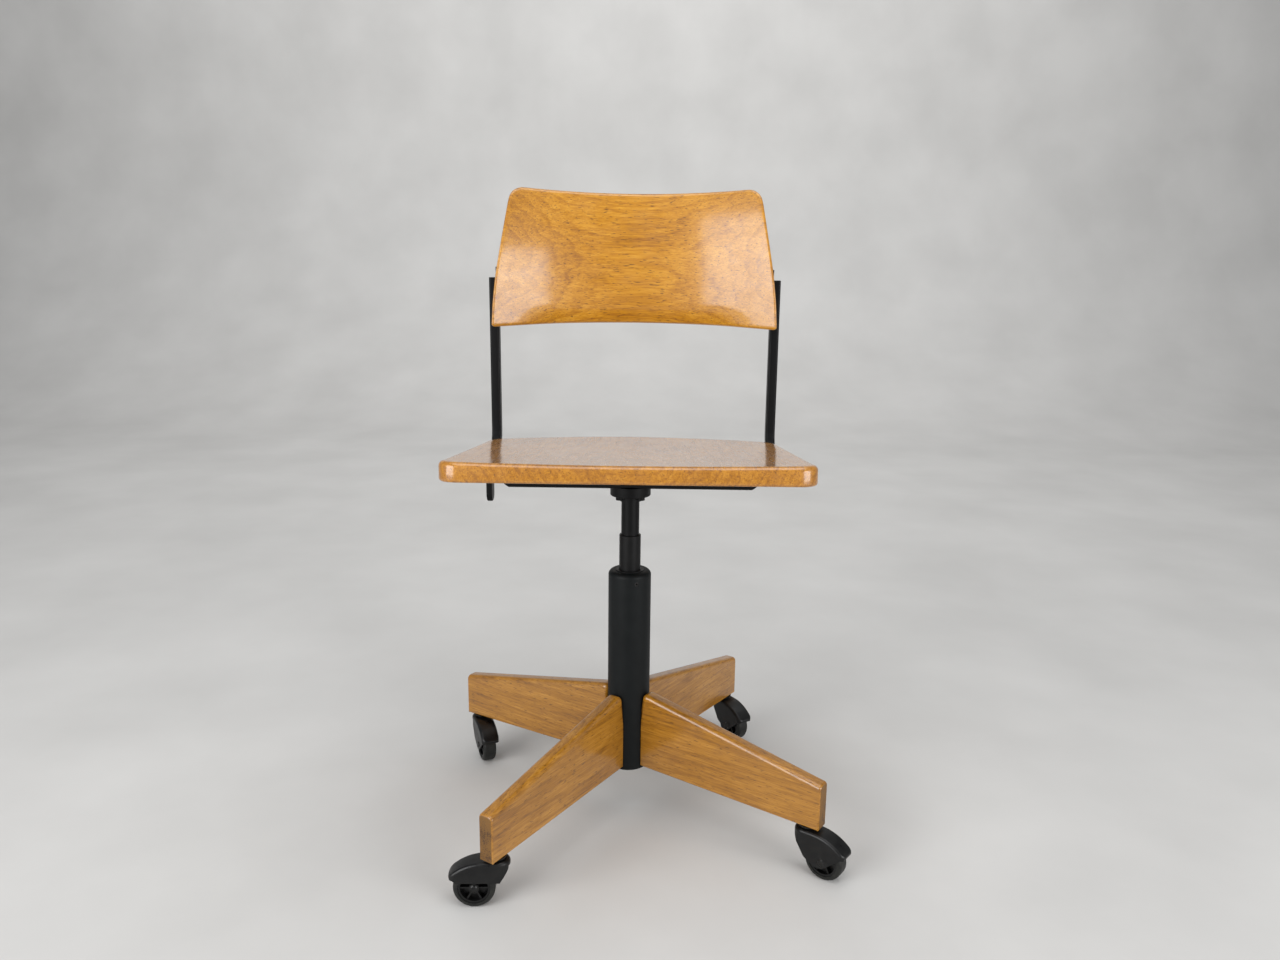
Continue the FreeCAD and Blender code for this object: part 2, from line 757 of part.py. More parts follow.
def castor_axle(corner):
    head = "axle_head_diameter / 2"
    outside = "hood_width / 2"
    hub_face = "(tread_width / 2 + seat_gap)"
    body = turned("castor_axle_" + corner, [
        ("0", "-(%s + axle_head_height)" % outside),
        (head + " - 1.5", "-(%s + axle_head_height)" % outside),
        (head, "-(%s)" % outside),
        ("axle_diameter / 2", "-(%s)" % outside),
        ("axle_diameter / 2", hub_face),
        (head, hub_face),
        (head + " - 1.5", hub_face + " + axle_head_height"),
        ("0", hub_face + " + axle_head_height"),
    ])
    return castor_place(body, corner, "wheel_diameter / 2", ALONG_Y)


def wheel_hub(corner):
    body = turned("wheel_hub_" + corner, [
        ("axle_diameter / 2 + running_fit", "-tread_width / 2"),
        ("axle_diameter / 2 + 3.5", "-tread_width / 2"),
        ("axle_diameter / 2 + 3.5", "-1.5"),
        (HUB_RADIUS + " - 3", "-1.5"),
        (HUB_RADIUS + " - 3", "-tread_width / 2 + 1"),
        (HUB_RADIUS, "-tread_width / 2 + 1"),
        (HUB_RADIUS, "tread_width / 2 - 1"),
        (HUB_RADIUS + " - 3", "tread_width / 2 - 1"),
        (HUB_RADIUS + " - 3", "1.5"),
        ("axle_diameter / 2 + 3.5", "1.5"),
        ("axle_diameter / 2 + 3.5", "tread_width / 2"),
        ("axle_diameter / 2 + running_fit", "tread_width / 2"),
    ])
    rib = start_sketch(body, "XY_Plane")
    inside, outside = "axle_diameter / 2 + 2", HUB_RADIUS + " - 2"
    outline(rib, [(inside, "-1"), (outside, "-1"), (outside, "1"), (inside, "1")])
    first = pad(body, rib, "tread_width - 5")
    spokes = body.newObject("PartDesign::PolarPattern", body.Name + "_ribs")
    spokes.Originals = [first]
    spokes.Axis = (rib, ["N_Axis"])
    spokes.Angle = 360
    spokes.Occurrences = 6
    body.Tip = spokes
    doc.recompute()
    return castor_place(body, corner, "wheel_diameter / 2", ALONG_Y)


def wheel_tyre(corner):
    body = turned("wheel_tyre_" + corner, [
        (HUB_RADIUS + " + running_fit", "-tread_width / 2"),
        ("wheel_diameter / 2", "-tread_width / 2", "tread_round"),
        ("wheel_diameter / 2", "tread_width / 2", "tread_round"),
        (HUB_RADIUS + " + running_fit", "tread_width / 2"),
    ])
    return castor_place(body, corner, "wheel_diameter / 2", ALONG_Y)


for corner in CORNERS:
    for build in (castor_socket, castor_stem, castor_hood, castor_axle, wheel_hub, wheel_tyre):
        keep(build(corner))

# Riser, with its guide ring at the foot and the pivot that the post stands on
RISER_BORE = "post_diameter / 2 + running_fit"
keep(turned("riser_tube", [
    (RISER_BORE, "riser_bottom"),
    ("riser_diameter / 2", "riser_bottom"),
    ("riser_diameter / 2", "riser_top", "1"),
    (RISER_BORE, "riser_top"),
]))
keep(ring("riser_guide_ring", "riser_diameter / 2 + running_fit", COLUMN_BORE + " - seat_gap",
          "riser_bottom", "riser_bottom + guide_ring_height"))
PLUG_TOP = "post_bottom - pivot_ball_diameter / 2 - seat_gap"
keep(turned("pivot_plug", [
    ("0", PLUG_TOP + " - pivot_plug_height"),
    ("post_diameter / 2", PLUG_TOP + " - pivot_plug_height"),
    ("post_diameter / 2", PLUG_TOP),
    ("pivot_ball_diameter / 2", PLUG_TOP),
    ("0", PLUG_TOP + " - pivot_ball_diameter / 2"),
], {3: "-pivot_ball_diameter / 2"}))
ball = doc.addObject("Part::Sphere", "pivot_ball")
bind(ball, "Radius", "pivot_ball_diameter / 2 - running_fit")
keep(place(ball, z=PLUG_TOP))

# Post, flange and the pressed beam that carries the seat
FLANGE_BOTTOM = "carrier_bottom - flange_thickness"
keep(rod("seat_post", "post_diameter / 2", "post_bottom", "carrier_bottom + carrier_sheet + 4"))
flange_blank = turned("flange_blank", [
    (RISER_BORE, FLANGE_BOTTOM + " - neck_collar_height"),
    ("riser_diameter / 2", FLANGE_BOTTOM + " - neck_collar_height"),
    ("riser_diameter / 2", FLANGE_BOTTOM),
    ("flange_diameter / 2", FLANGE_BOTTOM, "1.5"),
    ("flange_diameter / 2", "carrier_bottom"),
    (RISER_BORE, "carrier_bottom"),
])
bolt_places = []
for quarter in range(4):
    spin = 45 + 90 * quarter
    bolt_places.append(("flange_bolt_circle / 2 * cos(%d)" % spin, "flange_bolt_circle / 2 * sin(%d)" % spin))


def upright_rods(name, radius, bottom, top):
    rods = []
    for k, (x, y) in enumerate(bolt_places):
        rods.append(place(rod("%s_%d" % (name, k), radius, bottom, top), x, y))
    return rods


BOLT_HOLE = "flange_bolt_diameter / 2 + running_fit"
keep(drill("post_flange", flange_blank, upright_rods(
    "flange_drill", BOLT_HOLE, FLANGE_BOTTOM + " - 5", "carrier_bottom + 5")))

SLOPE = "tan(seat_slope)"
PLATE_DROP = "carrier_sheet / cos(seat_slope)"


def under_seat(back):
    return "seat_underside - (%s) * %s" % (back, SLOPE)


carrier_blank = new_body("carrier_blank")
hat = start_sketch(carrier_blank, "YZ_Plane")
front, rear = "-carrier_front", "carrier_rear"
lip_front, lip_rear = "-(carrier_front + carrier_lip)", "carrier_rear + carrier_lip"
outline(hat, [
    (lip_front, under_seat(lip_front)),
    (front + " + carrier_sheet", under_seat(front + " + carrier_sheet")),
    (front + " + carrier_sheet", "carrier_bottom + carrier_sheet", "carrier_bend - carrier_sheet"),
    (rear + " - carrier_sheet", "carrier_bottom + carrier_sheet", "carrier_bend - carrier_sheet"),
    (rear + " - carrier_sheet", under_seat(rear + " - carrier_sheet")),
    (lip_rear, under_seat(lip_rear)),
    (lip_rear, under_seat(lip_rear) + " - " + PLATE_DROP),
    (rear, under_seat(rear) + " - " + PLATE_DROP),
    (rear, "carrier_bottom", "carrier_bend"),
    (front, "carrier_bottom", "carrier_bend"),
    (front, under_seat(front) + " - " + PLATE_DROP),
    (lip_front, under_seat(lip_front) + " - " + PLATE_DROP),
])
pad(carrier_blank, hat, "carrier_top_width + 20")
ends = start_sketch(carrier_blank, "XZ_Plane")
low, high = "carrier_bottom_width / 2", "carrier_top_width / 2"
ramp = "(%s - %s) / (seat_underside - carrier_bottom)" % (high, low)
for sign in ("", "-"):
    outline(ends, [
        (sign + "(%s - 10 * %s)" % (low, ramp), "carrier_bottom - 10"),
        (sign + "(%s + 60)" % high, "carrier_bottom - 10"),
        (sign + "(%s + 60)" % high, "seat_underside + 10"),
        (sign + "(%s + 10 * %s)" % (high, ramp), "seat_underside + 10"),
    ])
pocket(carrier_blank, ends, "200", symmetric=True)
flange_bolts = []
for k, (x, y) in enumerate(bolt_places):
    bolt = turned("flange_bolt_%d" % k, [
        ("0", "carrier_bottom - flange_thickness - 4"),
        ("flange_bolt_diameter / 2 + 2", "carrier_bottom - flange_thickness - 4"),
        ("flange_bolt_diameter / 2 + 2", "carrier_bottom - flange_thickness"),
        ("flange_bolt_diameter / 2", "carrier_bottom - flange_thickness"),
        ("flange_bolt_diameter / 2", "carrier_bottom + carrier_sheet + 7"),
        ("0", "carrier_bottom + carrier_sheet + 7"),
    ])
    flange_bolts.append(place(bolt, x, y))
keep(group("flange_bolts", flange_bolts))
level_places = []
for k, (x, y) in enumerate(bolt_places):
    level_places.append((str(k), "0", Rotation()))
flange_nuts = hex_nuts("flange_nut", "10", BOLT_HOLE, "carrier_bottom + carrier_sheet", "5", level_places)
for nut, (x, y) in zip(flange_nuts, bolt_places):
    place(nut, x, y)
keep(group("flange_nuts", flange_nuts))

# Seat, in its own frame: Z = 0 is its underside and the whole seat slopes down to the rear
SEAT_TURN = about(X_AXIS, -value("seat_slope"))


def seat_place(part, x="0", y="0", z="0"):
    slide = "(%s) * cos(seat_slope) + (%s) * sin(seat_slope)" % (y, z)
    drop = "seat_underside - (%s) * sin(seat_slope) + (%s) * cos(seat_slope)" % (y, z)
    return place(part, x, slide, drop, SEAT_TURN)


seat = new_body("seat_board")
rim = start_sketch(seat, "XY_Plane")
front_y, side_y, rear_y = "-seat_front", "seat_side_end", "seat_rear"
front_x, rear_x = "seat_front_width / 2", "seat_rear_width / 2"
rear_rise = "(seat_rear - seat_side_end)"
rear_bow = "((%s)^2 + %s^2) / (2 * %s)" % (rear_x, rear_rise, rear_rise)
outline(rim, [
    ("-(%s)" % front_x, front_y),
    (front_x, front_y),
    (rear_x, side_y),
    ("-(%s)" % rear_x, side_y),
], {2: rear_bow})
pad(seat, rim, "seat_thickness", symmetric=False)


def upright_edge_near(x, y):
    def chosen(edge):
        ends = [v.Point for v in edge.Vertexes]
        upright = len(ends) == 2 and abs(ends[0].z - ends[1].z) > 5
        return upright and abs(abs(ends[0].x) - x) < 0.5 and abs(ends[0].y - y) < 0.5
    return chosen


round_edges(seat, "seat_corner_round", upright_edge_near(value(front_x), value(front_y)))
round_edges(seat, "seat_rear_round", upright_edge_near(value(rear_x), value(side_y)))

# The sitting surface is dished: a loft of shallow arcs, deepest under the sitter
DISH_STEPS = {
    "-seat_front - 20": "seat_front_dish",
    "-seat_front / 2": "seat_dish",
    "seat_rear / 3": "seat_dish",
    "seat_rear + 20": "seat_front_dish",
}
dish_sections = []
for where, depth in DISH_STEPS.items():
    section = start_sketch(seat, "XZ_Plane", "-(%s)" % where)
    wide = "(seat_front_width / 2 + 10)"
    bow = "(%s^2 + %s^2) / (2 * %s)" % (wide, depth, depth)
    outline(section, [
        ("-" + wide, "seat_thickness"),
        (wide, "seat_thickness"),
        (wide, "seat_thickness + 30"),
        ("-" + wide, "seat_thickness + 30"),
    ], {0: bow})
    dish_sections.append(section)
dish = seat.newObject("PartDesign::SubtractiveLoft", "seat_dishing")
dish.Profile = dish_sections[0]
dish.Sections = dish_sections[1:]
doc.recompute()


def seat_rim(low, high):
    def chosen(edge):
        box = edge.BoundBox
        inside = value(low) < box.ZMin and box.ZMax < value(high)
        return inside and box.ZLength < 10 and max(box.XLength, box.YLength) > 2
    return chosen


round_edges(seat, "seat_top_round", seat_rim("seat_thickness / 2", "seat_thickness + 1"))
round_edges(seat, "seat_bottom_round", seat_rim("-1", "1"))

# Screws that hold the seat, as places in its own frame with the sheet they pass through
LIP_MIDDLE = "carrier_lip / 2 + 0.5"
GUIDE_INSIDE = "arm_spacing / 2 - upright_width / 2 - seat_gap - guide_sheet"
seat_screw_places = []
for side, owner in (("", "right"), ("-", "left")):
    for x in ("carrier_screw_inner", "carrier_screw_outer"):
        seat_screw_places.append((side + x, "-(carrier_front + %s)" % LIP_MIDDLE, "carrier_sheet", "carrier"))
        seat_screw_places.append((side + x, "carrier_rear + %s" % LIP_MIDDLE, "carrier_sheet", "carrier"))
    near = side + "(%s - guide_screw_inset)" % GUIDE_INSIDE
    far = side + "(%s - guide_screw_inset - guide_screw_step)" % GUIDE_INSIDE
    seat_screw_places.append((near, "guide_screw_back", "guide_sheet", owner))
    seat_screw_places.append((far, "0", "guide_sheet", owner))
pilots = start_sketch(seat, "XY_Plane")
circles(pilots, [spot[:2] for spot in seat_screw_places], "seat_screw_diameter / 2 + running_fit")
pocket(seat, pilots, "seat_screw_depth + 0.5", reverse=True)
keep(seat_place(seat))
seat_screws = []
for k, (x, y, sheet_size, owner) in enumerate(seat_screw_places):
    screw = turned("seat_screw_%d" % k, [
        ("0", "-(%s + 2.4)" % sheet_size),
        ("seat_screw_head / 2 - 1", "-(%s + 2.4)" % sheet_size),
        ("seat_screw_head / 2", "-(%s + 1)" % sheet_size),
        ("seat_screw_head / 2", "-" + sheet_size),
        ("seat_screw_diameter / 2", "-" + sheet_size),
        ("seat_screw_diameter / 2", "seat_screw_depth - 3"),
        ("0", "seat_screw_depth"),
    ])
    seat_screws.append(seat_place(screw, x, y))
keep(group("seat_screws", seat_screws))


# Holes for those screws in a steel part under the seat
def screw_drills(name, holder):
    drills = []
    for k, (x, y, sheet_size, owner) in enumerate(seat_screw_places):
        if owner == holder:
            hole = rod("%s_%d" % (name, k), "seat_screw_diameter / 2 + running_fit", "-8", "1")
            drills.append(seat_place(hole, x, y))
    return drills


# Pressed beam under the seat
keep(drill("seat_carrier", carrier_blank, [
    place(rod("carrier_post_drill", RISER_BORE, "0", "20"), z="carrier_bottom - 10"),
    *upright_rods("carrier_drill", BOLT_HOLE, "carrier_bottom - 5", "carrier_bottom + carrier_sheet + 5"),
    *screw_drills("carrier_screw_drill", "carrier"),
]))

# Guides that the arms of the back slide through, folded from sheet
ARM_INSIDE = "arm_spacing / 2 - upright_width / 2 - seat_gap"
ARM_OUTSIDE = "arm_spacing / 2 + upright_width / 2 + seat_gap"
ARM_UNDER = "-(upright_depth + 2 * seat_gap)"
for side, sign in (("left", "-"), ("right", "")):
    guide = new_body("arm_guide_blank_" + side)
    fold = start_sketch(guide, "XZ_Plane")
    outline(fold, [
        (sign + "(%s - guide_foot)" % GUIDE_INSIDE, "0"),
        (sign + "(%s)" % ARM_INSIDE, "0", "guide_sheet + 0.5"),
        (sign + "(%s)" % ARM_INSIDE, ARM_UNDER),
        (sign + "(%s)" % ARM_OUTSIDE, ARM_UNDER),
        (sign + "(%s)" % ARM_OUTSIDE, "-2"),
        (sign + "(%s + guide_sheet)" % ARM_OUTSIDE, "-2"),
        (sign + "(%s + guide_sheet)" % ARM_OUTSIDE, ARM_UNDER + " - guide_sheet", "3"),
        (sign + "(%s)" % GUIDE_INSIDE, ARM_UNDER + " - guide_sheet", "3"),
        (sign + "(%s)" % GUIDE_INSIDE, "-guide_sheet"),
        (sign + "(%s - guide_foot)" % GUIDE_INSIDE, "-guide_sheet"),
    ])
    pad(guide, fold, "guide_length")
    seat_place(guide, y="guide_length / 2 - guide_front")
    drills = screw_drills("guide_drill_" + side, side)
    if side == "left":
        bore = rod("guide_pivot_drill", "lever_pin_diameter / 2 + running_fit", "-10", "10")
        bore.Placement = Placement()
        drills.append(seat_place(bore, "-(%s)" % GUIDE_INSIDE, "0", "-lever_pivot_drop"))
        bore.Placement = Placement(bore.Placement.Base, SEAT_TURN.multiply(ALONG_X))
    keep(drill("arm_guide_" + side, guide, drills))

# Clamp lever: a steel paddle on a shouldered rivet in the left guide
LEVER_X = "-(%s - lever_inset)" % ARM_INSIDE
LEVER_BACK = "-lever_pivot_drop * sin(seat_slope)"
LEVER_UP = "seat_underside - lever_pivot_drop * cos(seat_slope)"
lever = new_body("clamp_lever")
paddle = start_sketch(lever, "YZ_Plane")
outline(paddle, [
    ("-lever_width / 2", "9", "8.5"),
    ("-lever_width / 2", "-lever_drop", "11"),
    ("lever_width / 2", "-lever_drop", "11"),
    ("lever_width / 2", "9", "8.5"),
])
pad(lever, paddle, "lever_thickness")
lever_rim = [value("lever_thickness") / 2]
round_edges(lever, "2", lambda edge: all(abs(abs(v.X) - lever_rim[0]) < 0.01 for v in edge.Vertexes))
boss = start_sketch(lever, "YZ_Plane")
circles(boss, [("0", "0")], "lever_pin_diameter")
LEVER_SHOULDER = "lever_inset - guide_sheet - running_fit"
pad(lever, boss, LEVER_SHOULDER, symmetric=False, reverse=True)
eye = start_sketch(lever, "YZ_Plane")
circles(eye, [("0", "0")], "lever_pin_diameter / 2 + running_fit")
pocket(lever, eye, "60", symmetric=True)
keep(place(lever, LEVER_X, LEVER_BACK, LEVER_UP))
rivet = turned("lever_rivet", [
    ("0", "-lever_inset"),
    ("lever_pin_diameter / 2", "-lever_inset"),
    ("lever_pin_diameter / 2", "lever_thickness / 2 + running_fit"),
    ("lever_pin_diameter / 2 + 2.5", "lever_thickness / 2 + running_fit"),
    ("lever_pin_diameter / 2 + 1.5", "lever_thickness / 2 + 2.5"),
    ("0", "lever_thickness / 2 + 2.5"),
])
keep(place(rivet, LEVER_X, LEVER_BACK, LEVER_UP, ALONG_X))

# Back frame: bent rectangular tube on each side, arm and upright in one piece
ARM_GAP = "seat_gap / cos(seat_slope)"


def arm_line(back, drop):
    return "%s - (%s) / cos(seat_slope)" % (under_seat(back), drop)


UPRIGHT_REAR = "upright_front + upright_depth"
ARM_END = "-arm_front"
TUBE_WIDE = "upright_width - 2 * upright_wall"
for side, sign in (("left", -1), ("right", 1)):
    tube = new_body("upright_blank_" + side)
    bent = start_sketch(tube, "YZ_Plane")
    outline(bent, [
        (ARM_END, arm_line(ARM_END, "seat_gap")),
        (ARM_END, arm_line(ARM_END, "seat_gap + upright_depth")),
        (UPRIGHT_REAR, arm_line(UPRIGHT_REAR, "seat_gap + upright_depth"), "arm_bend + upright_depth"),
        (UPRIGHT_REAR, "upright_top"),
        ("upright_front", "upright_top"),
        ("upright_front", arm_line("upright_front", "seat_gap"), "arm_bend"),
    ])
    pad(tube, bent, "upright_width")
    half = value("upright_width") / 2
    crest = value("upright_top")

    def outer_crest(edge):
        return all(abs(v.X - sign * half) < 0.01 and abs(v.Z - crest) < 0.01 for v in edge.Vertexes)

    def long_edge(edge):
        ends = [v.Point for v in edge.Vertexes]
        flat = all(abs(abs(p.x) - half) < 0.01 for p in ends)
        return flat and all(p.x * ends[0].x > 0 for p in ends) and edge.Length > value("upright_depth") + 5

    round_edges(tube, "upright_edge", long_edge)
    hollow = start_sketch(tube, "YZ_Plane")
    inner_rear = "(%s - upright_wall)" % UPRIGHT_REAR
    inner_front = "(upright_front + upright_wall)"
    mouth = "(-arm_front - 5)"
    under = "seat_gap + upright_depth - upright_wall"
    over = "seat_gap + upright_wall"
    outline(hollow, [
        (mouth, arm_line(mouth, over)),
        (mouth, arm_line(mouth, under)),
        (inner_rear, arm_line(inner_rear, under), "arm_bend + upright_depth - upright_wall"),
        (inner_rear, "upright_top - 12"),
        (inner_front, "upright_top - 12"),
        (inner_front, arm_line(inner_front, over), "arm_bend + upright_wall"),
    ])
    pocket(tube, hollow, TUBE_WIDE, symmetric=True)
    inward = start_sketch(tube, "YZ_Plane")
    circles(inward, [("upright_front + upright_depth / 2", "pivot_height")], "pivot_diameter / 2 + running_fit")
    pocket(tube, inward, "20", reverse=(sign < 0))
    place(tube, "arm_spacing / 2 * %d" % sign)
    tube.Label = "upright_" + side
    keep(tube)

tie = rod("arm_tie", "arm_tie_diameter / 2", "-(%s + seat_gap)" % ARM_INSIDE, "%s + seat_gap" % ARM_INSIDE)
keep(place(tie, y="arm_tie_back", z=arm_line("arm_tie_back", "seat_gap + upright_depth / 2"), turn=ALONG_X))

plugs = []
for side, sign in (("left", -1), ("right", 1)):
    plug = new_body("arm_end_plug_" + side)
    head = start_sketch(plug, "YZ_Plane")
    front_of_head = "(-arm_front - 2.5)"
    outline(head, [
        (front_of_head, arm_line(ARM_END, "seat_gap + 1.5")),
        (front_of_head, arm_line(ARM_END, "seat_gap + upright_depth - 1.5")),
        (ARM_END, arm_line(ARM_END, "seat_gap + upright_depth")),
        (ARM_END, arm_line(ARM_END, "seat_gap")),
    ])
    pad(plug, head, "upright_width")
    stem = start_sketch(plug, "YZ_Plane")
    stem_end = "(-arm_front + 12)"
    low = "seat_gap + upright_depth - upright_wall - running_fit"
    high = "seat_gap + upright_wall + running_fit"
    outline(stem, [
        (ARM_END, arm_line(ARM_END, high)),
        (ARM_END, arm_line(ARM_END, low)),
        (stem_end, arm_line(stem_end, low)),
        (stem_end, arm_line(stem_end, high)),
    ])
    pad(plug, stem, TUBE_WIDE + " - 2 * running_fit")
    plugs.append(place(plug, "arm_spacing / 2 * %d" % sign))
keep(group("arm_end_plugs", plugs))

# Back: a board moulded to two curves. Its profile is turned about an upright axis in front.
AXIS_BACK = "board_front - board_bow"
LIP_CENTRE = "board_bow + lip_bow"
LEAN_CENTRE = "board_bow + lean_bow"
LIP_FALL = "(lumbar_height - board_bottom + 12)"
LEAN_RISE = "(board_corner_top - lumbar_height + 12)"


def profile_point(centre, radius, offset, rise, full):
    share = "(%s) / (%s)" % (rise, full)
    x = "%s - (%s - %s) * sqrt(1 - (%s)^2)" % (centre, radius, offset, share)
    z = "lumbar_height + (%s - %s) * %s" % (radius, offset, share)
    return x, z


def board_profile(body, near, far):
    sketch = start_sketch(body, "XZ_Plane")
    outline(sketch, [
        profile_point(LIP_CENTRE, "lip_bow", near, "-" + LIP_FALL, "lip_bow"),
        profile_point(LIP_CENTRE, "lip_bow", far, "-" + LIP_FALL, "lip_bow"),
        (LIP_CENTRE + " - (lip_bow - %s)" % far, "lumbar_height"),
        profile_point(LEAN_CENTRE, "lean_bow", far, LEAN_RISE, "lean_bow"),
        profile_point(LEAN_CENTRE, "lean_bow", near, LEAN_RISE, "lean_bow"),
        (LIP_CENTRE + " - (lip_bow - %s)" % near, "lumbar_height"),
    ], {
        1: "-(lip_bow - %s)" % far,
        2: "-(lean_bow - %s)" % far,
        4: "lean_bow - %s" % near,
        5: "lip_bow - %s" % near,
    })
    return sketch


# The turned blank points along +X, so it is placed a quarter turn round to face the sitter
def back_place(part, angle=0.0):
    return place(part, y=AXIS_BACK, turn=about(Z_AXIS, 90 + angle))


def back_blank(name, near, far, spread):
    body = new_body(name)
    revolve(body, board_profile(body, near, far), spread)
    return body


board = back_blank("board_blank", "0", "board_thickness", 90)
edge_line = start_sketch(board, "YZ_Plane")
wide, low, high = "arm_spacing", "(board_bottom - 60)", "(board_corner_top + 60)"
outline(edge_line, [("-" + wide, low), (wide, low), (wide, high), ("-" + wide, high)])
low_x, mid_x, top_x = "board_bottom_width / 2", "board_middle_width / 2", "board_top_width / 2"
outline(edge_line, [
    ("-" + low_x, "board_bottom"),
    ("0", "board_bottom + board_bottom_arch", "board_sweep"),
    (low_x, "board_bottom"),
    (mid_x, "board_middle", "board_side_bow"),
    (top_x, "board_corner_top", "board_corner_round"),
    ("0", "board_corner_top - board_top_dip", "board_sweep"),
    ("-" + top_x, "board_corner_top", "board_corner_round"),
    ("-" + mid_x, "board_middle", "board_side_bow"),
])
pocket(board, edge_line, "700", reverse=True)


def across_board(edge):
    ends = [v.Point for v in edge.Vertexes]
    if len(ends) < 2:
        return False
    reach = [math.hypot(p.x, p.y) for p in ends]
    return abs(reach[0] - reach[1]) > value("board_thickness") * 0.7 and edge.Length < 2 * value("board_thickness")


def board_rim(edge):
    seam = all(abs(v.Z - value("lumbar_height")) < 0.01 for v in edge.Vertexes)
    return not seam and not across_board(edge)


round_edges(board, "board_edge_round", board_rim)
back_place(board)

# Screws of the two brackets, square to the rear face of the board
BRACKET_SCREWS = []
for sign in (-1, 1):
    for z in ("bracket_bottom + bracket_screw_edge", "bracket_top - bracket_screw_edge"):
        BRACKET_SCREWS.append((sign, "bracket_inner / 2 + bracket_screw_inset", z))
        BRACKET_SCREWS.append((sign, "bracket_inner / 2 + bracket_screw_inset + bracket_screw_pitch", z))


def rear_reach(z):
    return "(%s - sqrt((lean_bow - board_thickness)^2 - (%s - lumbar_height)^2))" % (LEAN_CENTRE, z)


def on_rear_face(part, sign, x, z):
    reach = rear_reach(z)
    spin = math.degrees(math.asin(value(x) / value(reach)))
    lean = math.degrees(math.asin(value("(%s - lumbar_height) / (lean_bow - board_thickness)" % z)))
    turn = about(Z_AXIS, 90 - sign * spin).multiply(about(Y_AXIS, lean)).multiply(ALONG_X)
    back = "%s + sqrt(%s^2 - (%s)^2)" % (AXIS_BACK, reach, x)
    return place(part, "%d * (%s)" % (sign, x), back, z, turn)


def face_rods(name, radius, start, end, chosen):
    rods = []
    for k, (sign, x, z) in enumerate(BRACKET_SCREWS):
        if sign in chosen:
            rods.append(on_rear_face(rod("%s_%d" % (name, k), radius, start, end), sign, x, z))
    return rods


BOARD_SCREW_HOLE = "board_screw_diameter / 2 + running_fit"
keep(drill("backrest_board", board, face_rods(
    "board_drill", BOARD_SCREW_HOLE, "-(board_thickness - 3.5)", "2", (-1, 1))))

# Bracket: a curved flange against the board with an ear out to the pivot
PIVOT_BACK = "upright_front + upright_depth / 2"
for side, sign in (("left", -1), ("right", 1)):
    flange = new_body("bracket_flange_" + side)
    skin = start_sketch(flange, "XZ_Plane")
    low = "(bracket_bottom - lumbar_height)"
    high = "(bracket_top - lumbar_height)"
    near, far = "board_thickness", "(board_thickness + bracket_sheet)"

    def skin_point(offset, rise):
        return profile_point(LEAN_CENTRE, "lean_bow", offset, rise, "lean_bow - board_thickness")

    outline(skin, [
        skin_point(near, low),
        skin_point(far, low),
        skin_point(far, high),
        skin_point(near, high),
    ], {1: "-(lean_bow - board_thickness - bracket_sheet)", 3: "lean_bow - board_thickness"})
    inner = math.degrees(math.asin(value("bracket_inner / 2") / value(rear_reach("bracket_top"))))
    outer = math.degrees(math.asin(value(ARM_INSIDE) / value(rear_reach("bracket_bottom"))))
    revolve(flange, skin, outer - inner)
    back_place(flange, -sign * (outer + inner) / 2)
    ear_blank = new_body("bracket_ear_blank_" + side)
    ear_side = start_sketch(ear_blank, "YZ_Plane")
    outline(ear_side, [
        ("upright_front - 20", "bracket_bottom"),
        (PIVOT_BACK + " + 8", "bracket_bottom", "7.5"),
        (PIVOT_BACK + " + 8", "pivot_height + 10", "7.5"),
        ("upright_front - 2", "bracket_top", "8"),
        ("upright_front - 20", "bracket_top"),
    ])
    pad(ear_blank, ear_side, "bracket_sheet")
    eye = start_sketch(ear_blank, "YZ_Plane")
    circles(eye, [(PIVOT_BACK, "pivot_height")], "pivot_diameter / 2 + running_fit")
    pocket(ear_blank, eye, "20", symmetric=True)
    place(ear_blank, "(%s - bracket_sheet / 2) * %d" % (ARM_INSIDE, sign))
    swell = back_place(back_blank("board_swell_" + side, "-30", "board_thickness", 90))
    ear = combine("Cut", "bracket_ear_" + side, ear_blank, swell)
    bracket = combine("Fuse", "bracket_blank_" + side, flange, ear)
    keep(drill("back_bracket_" + side, bracket, face_rods(
        "bracket_drill_" + side, BOARD_SCREW_HOLE, "-5", "8", (sign,))))

board_screws = []
for k, (sign, x, z) in enumerate(BRACKET_SCREWS):
    screw = turned("board_screw_%d" % k, [
        ("0", "-(board_thickness - 4)"),
        ("board_screw_diameter / 2", "-(board_thickness - 6)"),
        ("board_screw_diameter / 2", "bracket_sheet"),
        ("board_screw_diameter / 2 + 1.8", "bracket_sheet"),
        ("board_screw_diameter / 2 + 1.8", "bracket_sheet + 0.8"),
        ("board_screw_diameter / 2 + 0.6", "bracket_sheet + 1.8"),
        ("0", "bracket_sheet + 1.8"),
    ])
    board_screws.append(on_rear_face(screw, sign, x, z))
keep(group("backrest_screws", board_screws))

# Pivots of the back: screws through the ears into the uprights
pivots = []
for side, sign in (("left", -1), ("right", 1)):
    shoulder = "-(seat_gap + bracket_sheet + running_fit)"
    screw = turned("back_pivot_" + side, [
        ("0", shoulder + " - 3"),
        ("pivot_diameter / 2 + 1.5", shoulder + " - 3"),
        ("pivot_diameter / 2 + 2.5", shoulder + " - 2"),
        ("pivot_diameter / 2 + 2.5", shoulder),
        ("pivot_diameter / 2", shoulder),
        ("pivot_diameter / 2", "upright_wall + 6"),
        ("0", "upright_wall + 6"),
    ])
    start = "(arm_spacing - upright_width) / 2 * %d" % sign
    pivots.append(place(screw, start, PIVOT_BACK, "pivot_height", about(Y_AXIS, 90 * sign)))
keep(group("back_pivot_screws", pivots))

